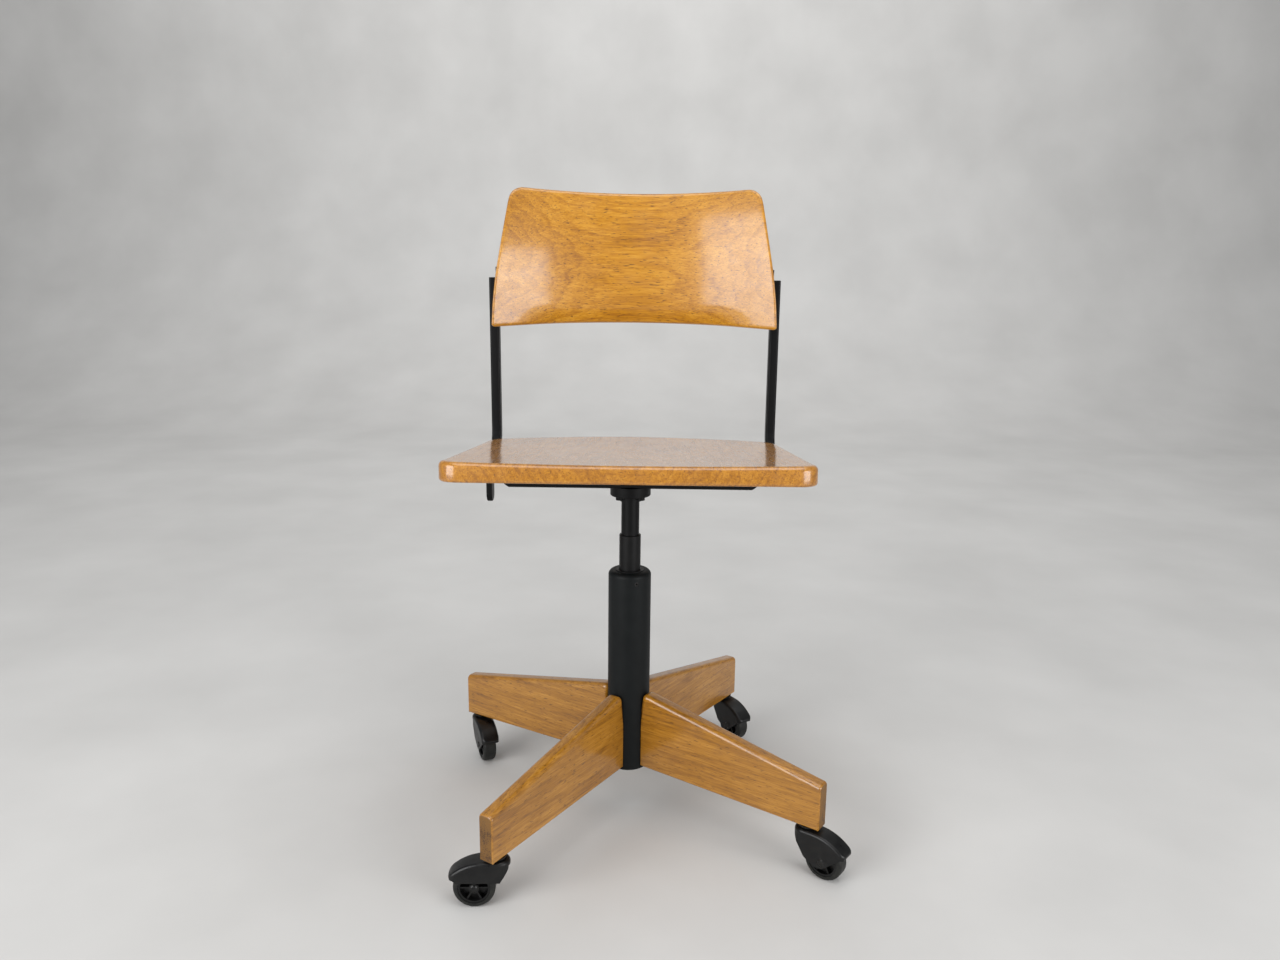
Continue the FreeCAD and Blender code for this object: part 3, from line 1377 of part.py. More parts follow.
# Check every object, then write one file for each part
doc.recompute()
for thing in doc.Objects:
    if "Invalid" in thing.State or "Error" in thing.State:
        raise RuntimeError("%s is %s" % (thing.Label, thing.State))
os.makedirs("parts", exist_ok=True)
for part in parts:
    shape = part.Shape
    if shape.isNull() or not shape.isValid():
        raise RuntimeError("%s has no valid shape" % part.Label)
    shape.exportStep("parts/%s.step" % part.Label)
print(len(parts), "parts written")
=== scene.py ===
# %% [markdown]
# # A swivel chair in lacquered wood and black steel
# The chair has a dished wooden seat, a back moulded to two curves, steel uprights, a telescopic
# column and a star base of four wooden legs on castors. The engineering model is loaded first and
# stays as it is. Everything visible is then given its finish, and the wooden parts, where light
# shows every edge, are modelled again as smooth skins over the same solids.

# %% Load the engineering model
import bpy
import bmesh
import math
from mathutils import Matrix, Vector
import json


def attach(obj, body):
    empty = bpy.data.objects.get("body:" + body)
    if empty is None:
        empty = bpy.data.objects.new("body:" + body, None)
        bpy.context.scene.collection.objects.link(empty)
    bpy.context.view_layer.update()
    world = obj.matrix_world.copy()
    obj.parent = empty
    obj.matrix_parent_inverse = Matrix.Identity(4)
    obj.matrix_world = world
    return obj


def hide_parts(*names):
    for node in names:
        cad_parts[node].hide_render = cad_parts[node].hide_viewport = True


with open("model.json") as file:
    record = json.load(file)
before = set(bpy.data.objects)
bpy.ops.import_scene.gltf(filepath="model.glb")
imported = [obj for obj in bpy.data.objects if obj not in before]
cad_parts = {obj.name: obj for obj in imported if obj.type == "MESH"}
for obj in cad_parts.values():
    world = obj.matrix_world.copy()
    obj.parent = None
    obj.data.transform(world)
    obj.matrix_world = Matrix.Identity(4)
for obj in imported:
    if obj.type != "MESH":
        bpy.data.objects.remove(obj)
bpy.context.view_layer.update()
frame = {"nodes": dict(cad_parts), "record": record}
NODES = frame["nodes"]

# %% [markdown]
# ## Sizes
# A drawing in millimetres is easier to read than one in metres, so every length is written in
# millimetres and multiplied by MM. The handful of sizes here are those of the wooden parts and
# must agree with the engineering model, because the skins replace its solids.

# %% Units and the sizes of the wooden parts
MM = 0.001
SEAT_UNDERSIDE = 513.2
SEAT_SLOPE = math.radians(5)
SEAT_THICK = 25.5
SEAT_FRONT, SEAT_REAR = -208.5, 190.0
SEAT_SIDE_END = 100.0
BASE_TURN = 11.8
LEG_TURNS = {
    "front_right": BASE_TURN - 45,
    "rear_right": BASE_TURN + 45,
    "rear_left": BASE_TURN + 135,
    "front_left": BASE_TURN - 135,
}

# %% [markdown]
# ## The camera
# The photograph was taken from a little above the seat, looking 12.6 degrees down, with a mild
# wide-angle lens. The camera's axes are built from those angles, so that the view doesn't depend
# on any constraint or target object.

# %% Camera at the photograph's place
YAW, PITCH, ROLL = -0.0076991, 0.2193028, 0.011687
forward = Vector((math.sin(YAW) * math.cos(PITCH), math.cos(YAW) * math.cos(PITCH), -math.sin(PITCH)))
level = forward.cross(Vector((0, 0, 1))).normalized()
upward = level.cross(forward)
right = level * math.cos(ROLL) + upward * math.sin(ROLL)
above = upward * math.cos(ROLL) - level * math.sin(ROLL)

camera = bpy.data.objects.new("camera", bpy.data.cameras.new("camera"))
bpy.context.scene.collection.objects.link(camera)
camera.data.sensor_width = 36.0
camera.data.lens = 28.585
camera.matrix_world = Matrix.Translation((0.0234, -1.3675, 0.7967)) @ Matrix(
    (right, above, -forward)).transposed().to_4x4()
bpy.context.scene.camera = camera
print("camera looks", round(math.degrees(PITCH), 2), "degrees down")

# %% [markdown]
# ## Colour and nodes
# Colours are picked as sRGB hex values, the way a paint chart gives them, and one function turns
# them to the linear values that the shader works in. A second function adds a shader node with its
# settings and links in one line, so that a material reads like a recipe.

# %% Two helpers for materials
def hue(code, alpha=1.0):
    channels = [int(code[i:i + 2], 16) / 255 for i in (1, 3, 5)]
    linear = [c / 12.92 if c <= 0.04045 else ((c + 0.055) / 1.055) ** 2.4 for c in channels]
    return (*linear, alpha)


def add(tree, kind, links=None, stops=None, **settings):
    node = tree.nodes.new("ShaderNode" + kind)
    for name, setting in settings.items():
        setattr(node, name, setting)
    for name, source in (links or {}).items():
        if isinstance(source, bpy.types.NodeSocket):
            tree.links.new(source, node.inputs[name])
        else:
            node.inputs[name].default_value = source
    if stops:
        ramp = node.color_ramp.elements
        while len(ramp) < len(stops):
            ramp.new(0.5)
        for element, (place, shade) in zip(ramp, stops):
            element.position = place
            element.color = hue(shade) if isinstance(shade, str) else (shade, shade, shade, 1)
    return node


def new_material(name):
    material = bpy.data.materials.new(name)
    material.use_nodes = True
    tree = material.node_tree
    shader = tree.nodes["Principled BSDF"]
    return material, tree, shader


# %% [markdown]
# ## Lacquered wood
# The wood is a light hardwood such as beech or oak under a clear lacquer that has aged to amber.
# Three things make it read as wood at this distance: growth bands that wander along the board,
# short dark pores that follow the grain, and cloudy differences in tone. Real pores are a fraction
# of a millimetre wide, and are drawn about three times as wide so that they still show. The lacquer
# is a clear coat over it, uneven from years of hands. The pattern is worked out in a space turned
# to the grain and stretched along it.

# %% Wood with its grain along a chosen direction
def lacquered_wood(name, turn, tones, seed, pith, ring, coat=0.8, smeared=0.3):
    """turn lays X along the grain, tones run from light to dark, pith and ring set the growth rings."""
    light, middle, dark = tones
    material, tree, shader = new_material(name)
    place = add(tree, "TexCoord").outputs["Object"]
    along = add(tree, "Mapping", {"Vector": place, "Rotation": turn}, vector_type="TEXTURE").outputs[0]

    def grain(stretch, size, detail, rough, shift=0.0):
        space = add(tree, "Mapping", {"Vector": along, "Location": (seed + shift, 0, 0),
                                      "Scale": (stretch, 1.0, 1.0)}).outputs[0]
        noise = add(tree, "TexNoise", {"Vector": space, "Scale": 1 / size, "Detail": detail,
                                       "Roughness": rough})
        return noise.outputs["Fac"]

    # Clouds 60 mm across, streaks 3.5 mm wide, fibres 1.2 mm wide and pores 1.4 mm wide
    clouds = grain(0.4, 0.060, 3.0, 0.6)
    streaks = grain(0.035, 0.0035, 2.0, 0.55, 0.3)
    fibres = grain(0.05, 0.0012, 2.0, 0.6, 0.7)
    pores = grain(0.14, 0.0014, 1.0, 0.4, 1.1)
    smears = grain(0.5, 0.022, 4.0, 0.65, 1.9)
    # Growth rings of a plank sawn a little off its heart, bent by slow noise
    bands = add(tree, "Mapping", {"Vector": along, "Location": pith,
                                  "Scale": (0.10, 1.0, 1.0)}).outputs[0]
    sway = add(tree, "TexNoise", {"Vector": bands, "Scale": 22.0, "Detail": 2.0, "Roughness": 0.5})
    swayed = add(tree, "VectorMath", {0: sway.outputs["Color"], 1: (0.5, 0.5, 0.5)},
                 operation="SUBTRACT")
    pushed = add(tree, "VectorMath", {0: swayed.outputs[0], "Scale": 0.045}, operation="SCALE")
    bent = add(tree, "VectorMath", {0: bands, 1: pushed.outputs[0]}).outputs[0]
    flat = add(tree, "VectorMath", {0: bent, 1: (0.0, 1.0, 1.0)}, operation="MULTIPLY").outputs[0]
    radius = add(tree, "VectorMath", {0: flat}, operation="LENGTH").outputs["Value"]
    rings = add(tree, "Math", {0: radius, 1: 1.0 / ring}, operation="MULTIPLY").outputs[0]
    phase = add(tree, "Math", {0: rings}, operation="FRACT").outputs[0]
    growth = add(tree, "ValToRGB", {"Fac": phase},
                 stops=[(0.0, 0.3), (0.6, 0.45), (0.88, 0.8), (1.0, 0.3)])
    # Each pattern is weighed about its middle and added up to one tone
    tone = 0.5
    weights = ((clouds, 0.36), (streaks, 0.36), (fibres, 0.42), (growth.outputs["Color"], 0.20))
    for pattern, weight in weights:
        level = add(tree, "Math", {0: pattern, 1: 0.5}, operation="SUBTRACT").outputs[0]
        tone = add(tree, "Math", {0: level, 1: weight, 2: tone}, operation="MULTIPLY_ADD").outputs[0]
    wood = add(tree, "ValToRGB", {"Fac": tone}, stops=[(0.30, light), (0.50, middle), (0.72, dark)])
    pore = add(tree, "ValToRGB", {"Fac": pores},
               stops=[(0.0, 0.8), (0.30, 0.65), (0.36, 0.0), (1.0, 0.0)])
    pored = add(tree, "Mix", {"A": wood.outputs["Color"], "B": hue("#4A2A0C"),
                              "Factor": pore.outputs["Color"]}, data_type="RGBA")
    # Faint brown smears where hands and cloth have worn through the lacquer
    smear = add(tree, "ValToRGB", {"Fac": smears},
                stops=[(0.0, 0.0), (0.55, 0.0), (0.75, smeared), (1.0, smeared)])
    worn = add(tree, "Mix", {"A": pored.outputs["Result"], "B": hue("#7A4E1E"),
                             "Factor": smear.outputs["Color"]}, data_type="RGBA")
    tree.links.new(worn.outputs["Result"], shader.inputs["Base Color"])
    rough = add(tree, "MapRange", {"Value": smears, "From Min": 0.3, "From Max": 0.7,
                                   "To Min": 0.30, "To Max": 0.50})
    tree.links.new(rough.outputs[0], shader.inputs["Roughness"])
    heights = add(tree, "Math", {0: fibres, 1: pore.outputs["Color"]}, operation="SUBTRACT")
    bump = add(tree, "Bump", {"Height": heights.outputs[0], "Strength": 0.10, "Distance": 0.0004})
    tree.links.new(bump.outputs[0], shader.inputs["Normal"])
    # The lacquer is the coat: glassy, but rippled along the grain by brush and wear
    ripple = add(tree, "Bump", {"Height": streaks, "Strength": 0.10, "Distance": 0.0006})
    tree.links.new(ripple.outputs[0], shader.inputs["Coat Normal"])
    shader.inputs["IOR"].default_value = 1.5
    shader.inputs["Coat Weight"].default_value = coat
    shader.inputs["Coat Roughness"].default_value = 0.14
    shader.inputs["Coat IOR"].default_value = 1.5
    return material


# %% Wood for the back, the seat and each leg
BACK_WOOD = lacquered_wood(
    "aged_lacquered_wood_back", (0, 0, 0), ("#CB932B", "#B1770F", "#855008"), seed=0.3,
    pith=(0, 0.03, -0.80), ring=0.011, smeared=0.12)
SEAT_WOOD = lacquered_wood(
    "aged_lacquered_wood_seat", (0, 0, math.radians(90)), ("#BF8527", "#A46A10", "#78470B"), seed=1.7,
    pith=(0, 0.0, -0.60), ring=0.012, coat=1.0, smeared=0.15)
LEG_WOOD = {}
for corner, angle in LEG_TURNS.items():
    LEG_WOOD[corner] = lacquered_wood(
        "aged_lacquered_wood_leg_" + corner, (0, 0, math.radians(angle)),
        ("#BC8632", "#9E6A17", "#70450F"), seed=0.5 + angle / 90,
        pith=(0, 0.05, -0.1), ring=0.009, coat=0.7, smeared=0.4)

# %% [markdown]
# Where a plank is cut across, its open ends drink the lacquer: they are darker, duller and speckled
# with the ends of the pores. The leg ends get a wood of their own for this.

# %% End grain for the cut ends of the legs
END_GRAIN, tree, shader = new_material("worn_end_grain")
place = add(tree, "TexCoord").outputs["Object"]
speckle = add(tree, "TexNoise", {"Vector": place, "Scale": 700.0, "Detail": 2.0})
blotch = add(tree, "TexNoise", {"Vector": place, "Scale": 60.0, "Detail": 3.0})
mixed = add(tree, "Math", {0: speckle.outputs["Fac"], 1: blotch.outputs["Fac"]}, operation="ADD")
shade = add(tree, "ValToRGB", {"Fac": mixed.outputs[0]}, stops=[(0.75, "#3E250C"), (1.0, "#74501E")])
half = add(tree, "Math", {0: mixed.outputs[0], 1: 0.5}, operation="MULTIPLY")
dull = add(tree, "MapRange", {"Value": half.outputs[0], "To Min": 0.4, "To Max": 0.75})
tree.links.new(shade.outputs["Color"], shader.inputs["Base Color"])
tree.links.new(dull.outputs[0], shader.inputs["Roughness"])
print("woods", 2 + len(LEG_WOOD), "and end grain")

# %% [markdown]
# ## Black steel
# The tubes and pressings are mild steel under a satin black enamel. Enamel is not metallic to the
# eye: it is a dark dielectric with a soft broad highlight. Knocks have chipped it down to steel in
# a few places, which the shader draws as rare grey spots about 3 mm across.

# %% Satin black enamel with a few chips
def black_enamel(name, shade="#050506", worn="#0A0A0B", chip_amount=0.68, rough=0.42):
    material, tree, shader = new_material(name)
    place = add(tree, "TexCoord").outputs["Object"]
    film = add(tree, "TexNoise", {"Vector": place, "Scale": 45.0, "Detail": 5.0, "Roughness": 0.65})
    tint = add(tree, "ValToRGB", {"Fac": film.outputs["Fac"]}, stops=[(0.3, shade), (0.75, worn)])
    spots = add(tree, "TexVoronoi", {"Vector": place, "Scale": 95.0, "Randomness": 1.0}, feature="F1")
    choose = add(tree, "TexNoise", {"Vector": place, "Scale": 14.0, "Detail": 1.0})
    near = add(tree, "Math", {0: spots.outputs["Distance"], 1: 0.16}, operation="LESS_THAN")
    where = add(tree, "Math", {0: choose.outputs["Fac"], 1: chip_amount}, operation="GREATER_THAN")
    chip = add(tree, "Math", {0: near.outputs[0], 1: where.outputs[0]}, operation="MULTIPLY")
    colour = add(tree, "Mix", {"Factor": chip.outputs[0], "A": tint.outputs["Color"],
                               "B": hue("#8D8B86")}, data_type="RGBA")
    gloss = add(tree, "MapRange", {"Value": film.outputs["Fac"], "To Min": rough - 0.06,
                                   "To Max": rough + 0.08})
    bump = add(tree, "Bump", {"Height": film.outputs["Fac"], "Strength": 0.08, "Distance": 0.0005})
    tree.links.new(colour.outputs["Result"], shader.inputs["Base Color"])
    tree.links.new(gloss.outputs[0], shader.inputs["Roughness"])
    tree.links.new(bump.outputs[0], shader.inputs["Normal"])
    shader.inputs["Specular IOR Level"].default_value = 0.16
    return material


# %% [markdown]
# ## Castor moulding, tread and small steel parts
# The castor hoods are black plastic, shiny where it is clean and greyed by dust. The treads are
# hard rubber, scuffed to a dull charcoal. Screws and pins are zinc-plated steel.

# %% Moulded plastic, rubber and plated steel
def dusty_black(name, clean, dusty, low, high, grain=60.0):
    material, tree, shader = new_material(name)
    place = add(tree, "TexCoord").outputs["Object"]
    dust = add(tree, "TexNoise", {"Vector": place, "Scale": grain, "Detail": 6.0, "Roughness": 0.7})
    shade = add(tree, "ValToRGB", {"Fac": dust.outputs["Fac"]}, stops=[(0.42, clean), (0.78, dusty)])
    gloss = add(tree, "MapRange", {"Value": dust.outputs["Fac"], "From Min": 0.35, "From Max": 0.7,
                                   "To Min": low, "To Max": high})
    bump = add(tree, "Bump", {"Height": dust.outputs["Fac"], "Strength": 0.15, "Distance": 0.0004})
    tree.links.new(shade.outputs["Color"], shader.inputs["Base Color"])
    tree.links.new(gloss.outputs[0], shader.inputs["Roughness"])
    tree.links.new(bump.outputs[0], shader.inputs["Normal"])
    shader.inputs["Specular IOR Level"].default_value = 0.35
    return material


def plated_steel(name, shade, rough):
    material, tree, shader = new_material(name)
    place = add(tree, "TexCoord").outputs["Object"]
    bloom = add(tree, "TexNoise", {"Vector": place, "Scale": 220.0, "Detail": 4.0})
    tint = add(tree, "ValToRGB", {"Fac": bloom.outputs["Fac"]}, stops=[(0.3, shade), (0.8, "#6E6A60")])
    gloss = add(tree, "MapRange", {"Value": bloom.outputs["Fac"], "To Min": rough,
                                   "To Max": rough + 0.2})
    tree.links.new(tint.outputs["Color"], shader.inputs["Base Color"])
    tree.links.new(gloss.outputs[0], shader.inputs["Roughness"])
    shader.inputs["Metallic"].default_value = 1.0
    return material


ENAMEL = black_enamel("satin_black_enamel")
COLUMN_ENAMEL = black_enamel("satin_charcoal_enamel", "#0B0E0F", "#111415", 0.69, 0.5)
WORN_ENAMEL = black_enamel("satin_black_enamel_worn", "#09090A", "#151515", 0.58)
CASTOR_PLASTIC = dusty_black("moulded_castor_plastic", "#040405", "#131312", 0.26, 0.5)
NYLON = dusty_black("black_nylon", "#070708", "#121212", 0.4, 0.6)
TREAD = dusty_black("scuffed_rubber_tread", "#0E0F0E", "#2C2C27", 0.45, 0.7, 90.0)
BLACKED_STEEL = dusty_black("blackened_steel", "#080808", "#1E1D1B", 0.3, 0.5, 120.0)
ZINC = plated_steel("zinc_plated_steel", "#A8A69C", 0.28)

# %% [markdown]
# ## Dressing the engineering parts
# The parts come in as loose triangles, so a curved face would show its facets. A short modifier
# welds the points and smooths across shallow edges, which leaves the mesh itself untouched.

# %% A modifier that smooths curved faces and keeps real edges
smoothing = bpy.data.node_groups.new("weld_and_smooth", "GeometryNodeTree")
smoothing.interface.new_socket("Geometry", in_out="INPUT", socket_type="NodeSocketGeometry")
smoothing.interface.new_socket("Geometry", in_out="OUTPUT", socket_type="NodeSocketGeometry")
start = smoothing.nodes.new("NodeGroupInput")
weld = smoothing.nodes.new("GeometryNodeMergeByDistance")
weld.inputs["Distance"].default_value = 0.00002
faces = smoothing.nodes.new("GeometryNodeSetShadeSmooth")
angle = smoothing.nodes.new("GeometryNodeInputMeshEdgeAngle")
sharp = smoothing.nodes.new("FunctionNodeCompare")
sharp.data_type = "FLOAT"
sharp.operation = "GREATER_THAN"
sharp.inputs["B"].default_value = math.radians(28)
edges = smoothing.nodes.new("GeometryNodeSetShadeSmooth")
edges.domain = "EDGE"
edges.inputs["Shade Smooth"].default_value = False
end = smoothing.nodes.new("NodeGroupOutput")
smoothing.links.new(start.outputs[0], weld.inputs["Geometry"])
smoothing.links.new(weld.outputs[0], faces.inputs["Geometry"])
smoothing.links.new(faces.outputs[0], edges.inputs["Geometry"])
smoothing.links.new(angle.outputs["Unsigned Angle"], sharp.inputs["A"])
smoothing.links.new(sharp.outputs[0], edges.inputs["Selection"])
smoothing.links.new(edges.outputs[0], end.inputs[0])

# %% Give every part its finish
FINISH = {
    "lacquered_wood": SEAT_WOOD,
    "black_enamel": ENAMEL,
    "black_nylon": NYLON,
    "zinc_steel": ZINC,
    "castor_steel": BLACKED_STEEL,
    "castor_moulding": CASTOR_PLASTIC,
    "wheel_tread": TREAD,
}
for entry in frame["record"]["subparts"]:
    part = NODES[entry["node"]]
    part.data.materials.clear()
    part.data.materials.append(FINISH[entry["material_slot"]])
    smooth = part.modifiers.new("weld_and_smooth", "NODES")
    smooth.node_group = smoothing
NODES["riser_tube"].data.materials[0] = WORN_ENAMEL
NODES["column_tube"].data.materials[0] = COLUMN_ENAMEL
NODES["column_foot_cap"].data.materials[0] = COLUMN_ENAMEL
NODES["height_lock_screw"].data.materials[0] = BLACKED_STEEL
NODES["backrest_board"].data.materials[0] = BACK_WOOD
for corner in LEG_TURNS:
    NODES["leg_" + corner].data.materials[0] = LEG_WOOD[corner]

# %% [markdown]
# ## Turning a bmesh into a piece
# Each new piece is built in the chair's own frame, rides on the body that carries it and stands
# for the part that it covers.

# %% Helper that finishes a piece
def make_piece(name, mesh, material, body, covers):
    bmesh.ops.recalc_face_normals(mesh, faces=mesh.faces)
    for face in mesh.faces:
        face.smooth = True
    data = bpy.data.meshes.new(name)
    mesh.to_mesh(data)
    mesh.free()
    data.materials.append(material)
    piece = bpy.data.objects.new(name, data)
    bpy.context.scene.collection.objects.link(piece)
    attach(piece, body)
    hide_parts(*covers)
    return piece


# %% [markdown]
# ## A board with a rounded rim
# The seat and the back are both boards with a soft rim. A bevel would do on a coarse mesh, but on a
# finely divided one it can't be wider than the small faces beside it. So a flat grid is wrapped
# round the board instead, the way cling film is: one way the grid runs round the outline, the other
# way it runs from the middle of one face over the rim to the middle of the other. Each row knows
# how far it lies inside the outline and how deep under the surface, and the seams are welded.

# %% Wrap a grid round an outline
RIM_STEPS = 6


def wrap_board(outline, centre, over_round, under_round, shape, rows=26):
    """shape(a, b, side, sink) gives the place of a point of the outline's plane, in millimetres."""
    quarter = [math.radians(90 * k / RIM_STEPS) for k in range(RIM_STEPS + 1)]

    def half_wrap(rounding, side):
        """Rows from the middle of a face to the rim: inset, share of the way out, side and sink."""
        face = [(rounding, (k / rows) ** 0.8, side, 0.0) for k in range(rows)]
        rim = [(rounding * (1 - math.cos(t)), 1.0, side, rounding * (1 - math.sin(t)))
               for t in reversed(quarter)]
        return face + rim

    table = half_wrap(over_round, 0) + list(reversed(half_wrap(under_round, 1)))
    # Near a tight corner the points stand close together. Away from the rim they spread out evenly,
    # because a fan of slivers would show as a crease in the gloss.
    count = len(outline)
    steps = [(Vector(outline[(k + 1) % count]) - Vector(outline[k])).length for k in range(count)]
    walked = [sum(steps[:k]) for k in range(count + 1)]

    def spot_at(length):
        length = length % walked[-1]
        k = max(i for i in range(count) if walked[i] <= length)
        return Vector(outline[k]).lerp(Vector(outline[(k + 1) % count]), (length - walked[k]) / steps[k])

    normals = []
    for k in range(count):
        before, after = Vector(outline[k - 1]), Vector(outline[(k + 1) % count])
        along = (after - before).normalized()
        normals.append(Vector((along.y, -along.x)))
    wrap = bmesh.new()
    bmesh.ops.create_grid(wrap, x_segments=count, y_segments=len(table) - 1, size=1.0)
    for vert in wrap.verts:
        around = round((vert.co.x + 1) / 2 * count) % count
        inset, share, side, sink = table[round((vert.co.y + 1) / 2 * (len(table) - 1))]
        even = min(1.0, (1 - share) * 3)
        point = Vector(outline[around])
        if even > 0:
            point = spot_at(walked[around] * (1 - even) + walked[-1] * around / count * even)
        facing = normals[around].lerp((point - Vector(centre)).normalized(), even)
        point = Vector(centre).lerp(point - facing * inset, share)
        vert.co = shape(point.x, point.y, side, sink)
    bmesh.ops.scale(wrap, vec=(MM, MM, MM), verts=wrap.verts)
    bmesh.ops.remove_doubles(wrap, verts=wrap.verts, dist=0.002 * MM)
    return wrap


def run(start, stop, count):
    return [start + (stop - start) * k / count for k in range(count)]


# %% [markdown]
# ## The back
# A moulded back is curved both ways: hollow across, to hold the sitter, and bulging where it meets
# the small of the back. Along the middle of its lower edge a lip turns away to the rear, and fades
# out towards the two wings. The curves are a handful of radii, measured from the engineering model.

# %% Curves of the back
BOARD_FRONT, BOARD_BOW, BOARD_THICK = 215.4, 420.0, 12.0
LUMBAR, LIP_BOW, LEAN_BOW = 725.0, 80.0, 650.0
BOARD_LOW, BOARD_MIDDLE, BOARD_HIGH = 687.0, 745.0, 892.0
HALF_LOW, HALF_MIDDLE, TOP_INSET = 213.0, 209.5, 23.5
TOP_ROUND, HEEL_ROUND = 20.0, 5.0
LIP_FULL, LIP_GONE = 115.0, 190.0


def board_face(x, z):
    if z > LUMBAR:
        reach = BOARD_BOW + LEAN_BOW - math.sqrt(LEAN_BOW ** 2 - (z - LUMBAR) ** 2)
    else:
        fade = min(1.0, max(0.0, (LIP_GONE - abs(x)) / (LIP_GONE - LIP_FULL)))
        fade = fade * fade * (3 - 2 * fade) * 0.97 + 0.03
        reach = BOARD_BOW + fade * (LIP_BOW - math.sqrt(LIP_BOW ** 2 - (z - LUMBAR) ** 2))
    return BOARD_FRONT - BOARD_BOW + math.sqrt(reach ** 2 - x * x)


def on_back(x, z, side, sink):
    lean_x = board_face(x + 1, z) - board_face(x - 1, z)
    lean_z = board_face(x, z + 1) - board_face(x, z - 1)
    thick = math.sqrt(1 + lean_x ** 2 / 4 + lean_z ** 2 / 4)
    depth = BOARD_THICK - sink if side else sink
    return Vector((x, board_face(x, z) + depth * thick, z))


def board_side(z):
    if z < BOARD_MIDDLE:
        wide = HALF_LOW - (z - BOARD_LOW) * (HALF_LOW - HALF_MIDDLE) / (BOARD_MIDDLE - BOARD_LOW)
    else:
        wide = HALF_MIDDLE - (z - BOARD_MIDDLE) * TOP_INSET / (BOARD_HIGH - BOARD_MIDDLE)
    # The bend in the side is eased over 33 mm each way
    blend = max(0.0, 1 - abs(z - BOARD_MIDDLE) / 33)
    return wide - 1.1 * blend * blend


# %% Outline of the back, walked once round
heel_x = HALF_LOW - HEEL_ROUND
low_edge = [(x, BOARD_LOW + 4.5 * (1 - (x / HALF_LOW) ** 2)) for x in run(0, heel_x, 30)]
heel = [(heel_x + HEEL_ROUND * math.sin(t), BOARD_LOW + 5.2 - HEEL_ROUND * math.cos(t))
        for t in run(0, math.pi / 2, 4)]
side_edge = [(board_side(z), z) for z in run(BOARD_LOW + 6, BOARD_HIGH - 17, 28)]
top_x = board_side(BOARD_HIGH - 17) - TOP_ROUND
corner_arc = [(top_x + TOP_ROUND * math.cos(t), BOARD_HIGH - 20.5 + TOP_ROUND * math.sin(t))
              for t in run(0.18, math.pi / 2, 12)]
top_edge = [(x, BOARD_HIGH - 0.6 - 6.2 * (1 - (x / 168) ** 2)) for x in run(top_x - 3, 0, 18)]
half_board = low_edge + heel + side_edge + corner_arc + top_edge + [(0, BOARD_HIGH - 6.8)]
mirrored = [(-x, z) for x, z in reversed(half_board[1:-1])]
back_board = make_piece("back_board", wrap_board(half_board + mirrored, (0, 790), 4.0, 4.0, on_back),
                        BACK_WOOD, "backrest", ["backrest_board"])
print("back", [round(v * 1000) for v in back_board.dimensions], len(back_board.data.polygons), "faces")

# %% [markdown]
# ## The seat
# The seat is a thick board, straight in front, narrowing to the rear and ending in a bow. Its top
# is dished, and its upper rim is rounded more than the lower one.

# %% Outline, dish and slope of the seat
SEAT_HALF_FRONT, SEAT_HALF_REAR, SEAT_CORNER = 226.0, 209.0, 24.0
REAR_RISE = SEAT_REAR - SEAT_SIDE_END
SEAT_BOW = (SEAT_HALF_REAR ** 2 + REAR_RISE ** 2) / (2 * REAR_RISE)
BOW_END, REAR_WIDE, REAR_DROP, REAR_DEEP = 193.0, 17.6, 16.0, 28.0


def seat_side(y):
    narrowing = (SEAT_HALF_FRONT - SEAT_HALF_REAR) / (SEAT_SIDE_END - SEAT_FRONT)
    return SEAT_HALF_FRONT - (y - SEAT_FRONT) * narrowing


def seat_bow_line(x):
    return SEAT_REAR - SEAT_BOW + math.sqrt(SEAT_BOW ** 2 - x * x)


def on_seat(x, y, side, sink):
    along = min(1.0, max(0.0, (y - SEAT_FRONT) / (SEAT_REAR - SEAT_FRONT)))
    deep = (3.0 + 3.2 * math.sin(along * math.pi) ** 0.7) * max(0.0, 1 - (x / 236) ** 2)
    height = sink if side else SEAT_THICK - deep - sink
    slope = Matrix.Rotation(-SEAT_SLOPE, 3, "X")
    return slope @ Vector((x, y, height)) + Vector((0, 0, SEAT_UNDERSIDE))


corner_x = SEAT_HALF_FRONT - SEAT_CORNER
front_edge = [(x, SEAT_FRONT) for x in run(0, corner_x, 16)]
corner_arc = [(corner_x + SEAT_CORNER * math.sin(t), SEAT_FRONT + SEAT_CORNER * (1 - math.cos(t)))
              for t in run(0, math.pi / 2, 12)]
side_edge = [(seat_side(y), y) for y in run(SEAT_FRONT + SEAT_CORNER, 71, 20)]
corner_y = seat_bow_line(BOW_END) - REAR_DROP - REAR_DEEP
rear_corner = [(BOW_END + REAR_WIDE * math.cos(t),
                corner_y + REAR_DEEP * math.sin(t) + REAR_DROP * (1 - math.cos(t)))
               for t in run(0, math.pi / 2, 10)]
rear_edge = [(x, seat_bow_line(x)) for x in run(BOW_END, 0, 24)]
half_seat = front_edge + corner_arc + side_edge + rear_corner + rear_edge + [(0, SEAT_REAR)]
mirrored = [(-x, y) for x, y in reversed(half_seat[1:-1])]
seat_top = make_piece("seat_top", wrap_board(half_seat + mirrored, (0, -20), 7.0, 4.0, on_seat),
                      SEAT_WOOD, "seat", ["seat_board"])
print("seat", [round(v * 1000) for v in seat_top.dimensions], len(seat_top.data.polygons), "faces")

# %% [markdown]
# ## The legs
# Each leg is a tapered plank on edge. A cube is moved to the plank's eight corners, and its edges
# are then rounded one group at a time: the corner at the column, the two long upper edges most of
# all, the edges of the outer end and last the lower ones. The outer end gets the end grain.

# %% Model one leg and turn it to each corner
LEG_REACH, LEG_START, LEG_THICK = 307.5, 29.3, 22.0
END_LOW, END_HIGH, HUB_LOW, HUB_HIGH = 66.7, 130.4, 74.5, 187.0


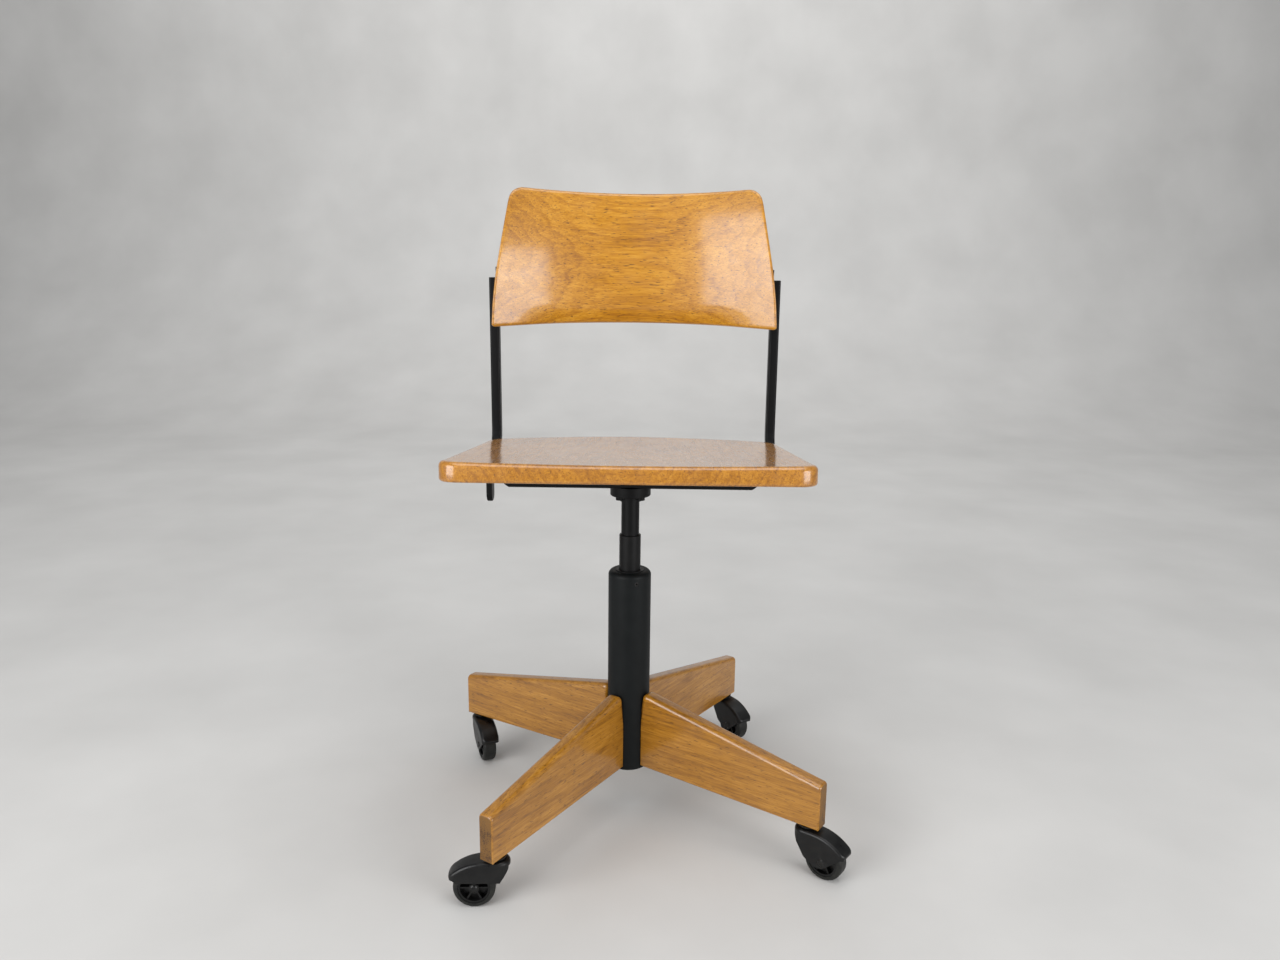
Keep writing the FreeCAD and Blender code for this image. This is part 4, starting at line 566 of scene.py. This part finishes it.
def round_leg(leg, edges, offset, segments):
    bmesh.ops.bevel(leg, geom=edges, offset=offset, segments=segments, profile=0.5,
                    affect="EDGES", material=-1)


def leg_mesh():
    leg = bmesh.new()
    bmesh.ops.create_cube(leg, size=2.0)
    for vert in leg.verts:
        outer, high = vert.co.x > 0, vert.co.z > 0
        x = LEG_REACH if outer else LEG_START
        z = (END_HIGH if high else END_LOW) if outer else (HUB_HIGH if high else HUB_LOW)
        vert.co = Vector((x, vert.co.y * LEG_THICK / 2, z))
    at_hub = [e for e in leg.edges if all(v.co.x < 40 and v.co.z > 140 for v in e.verts)]
    round_leg(leg, at_hub, 10, 5)
    on_top = [e for e in leg.edges if all(v.co.z > END_HIGH - 2 for v in e.verts)
              and abs(e.verts[0].co.y - e.verts[1].co.y) < 1]
    round_leg(leg, on_top, 6.5, 5)
    at_end = [e for e in leg.edges if all(v.co.x > LEG_REACH - 0.5 for v in e.verts)]
    round_leg(leg, at_end, 3.2, 3)
    below = [e for e in leg.edges if all(v.co.z < 76 for v in e.verts) and e.calc_length() > 100]
    round_leg(leg, below, 2.4, 3)
    for face in leg.faces:
        face.material_index = 1 if face.calc_center_median().x > LEG_REACH - 0.4 else 0
    return leg


for corner, angle in LEG_TURNS.items():
    leg = leg_mesh()
    turn = Matrix.Rotation(math.radians(angle), 4, "Z")
    bmesh.ops.transform(leg, matrix=Matrix.Scale(MM, 4) @ turn, verts=leg.verts)
    piece = make_piece("leg_plank_" + corner, leg, LEG_WOOD[corner], "base", ["leg_" + corner])
    piece.data.materials.append(END_GRAIN)
    keen = piece.modifiers.new("even shading", "WEIGHTED_NORMAL")
    keen.keep_sharp = True

# %% [markdown]
# ## The studio
# A pale floor sweeps up into the wall behind, so there is no hard horizon. Large soft lamps stand
# on both sides in front of the chair, one hangs above it and one lights the wall. The lacquer shows
# the two side lamps as broad pale sheens on the wings of the back, the right one only low down,
# while the middle reflects the dimmer room. The seat mirrors the lit wall.

# %% Floor and backdrop
sweep = bmesh.new()
line = [Vector((-9, -7, 0)), Vector((-9, 3.0, 0))]
for step in range(1, 13):
    bend = math.radians(90 * step / 12)
    line.append(Vector((-9, 3.0 + 1.6 * math.sin(bend), 1.6 - 1.6 * math.cos(bend))))
line.append(Vector((-9, 4.6, 7)))
points = [sweep.verts.new(place) for place in line]
lines = [sweep.edges.new(pair) for pair in zip(points, points[1:])]
wide = bmesh.ops.extrude_edge_only(sweep, edges=lines)
moved = [item for item in wide["geom"] if isinstance(item, bmesh.types.BMVert)]
bmesh.ops.translate(sweep, verts=moved, vec=(18, 0, 0))
bmesh.ops.recalc_face_normals(sweep, faces=sweep.faces)
for face in sweep.faces:
    face.smooth = True
backdrop_mesh = bpy.data.meshes.new("studio_sweep")
sweep.to_mesh(backdrop_mesh)
sweep.free()
backdrop = bpy.data.objects.new("studio_sweep", backdrop_mesh)
bpy.context.scene.collection.objects.link(backdrop)
paper, tree, shader = new_material("pale_studio_paper")
place = add(tree, "TexCoord").outputs["Object"]
mottle = add(tree, "TexNoise", {"Vector": place, "Scale": 3.0, "Detail": 5.0})
shade = add(tree, "ValToRGB", {"Fac": mottle.outputs["Fac"]}, stops=[(0.3, "#BEBDBB"), (0.7, "#C8C7C5")])
tree.links.new(shade.outputs["Color"], shader.inputs["Base Color"])
shader.inputs["Roughness"].default_value = 0.9
backdrop_mesh.materials.append(paper)


# %% Soft lamps and the world
def lamp(name, place, target, size, power, tint=(1, 1, 1)):
    light = bpy.data.lights.new(name, "AREA")
    light.shape = "RECTANGLE"
    light.size, light.size_y = size
    light.energy = power
    light.color = tint
    holder = bpy.data.objects.new(name, light)
    holder.location = place
    holder.rotation_euler = (Vector(target) - Vector(place)).to_track_quat("-Z", "Y").to_euler()
    bpy.context.scene.collection.objects.link(holder)
    return holder


lamp("lamp_left", (-1.9, -1.9, 1.2), (0, 0, 0.85), (1.9, 1.9), 66)
lamp("lamp_right", (2.0, -1.8, 0.85), (0, 0, 0.7), (1.7, 1.3), 44)
lamp("lamp_above", (0.2, -0.6, 3.2), (0, 0.1, 0.5), (2.6, 2.2), 50)

lamp("lamp_on_the_wall", (0, 1.9, 3.6), (0, 4.6, 1.5), (5.0, 1.2), 95)

world = bpy.data.worlds.new("studio")
bpy.context.scene.world = world
world.use_nodes = True
sky = world.node_tree.nodes["Background"]
sky.inputs["Color"].default_value = hue("#EDEFF2")
sky.inputs["Strength"].default_value = 0.32
bpy.context.scene.view_settings.view_transform = "Standard"

# %% The json module
import json
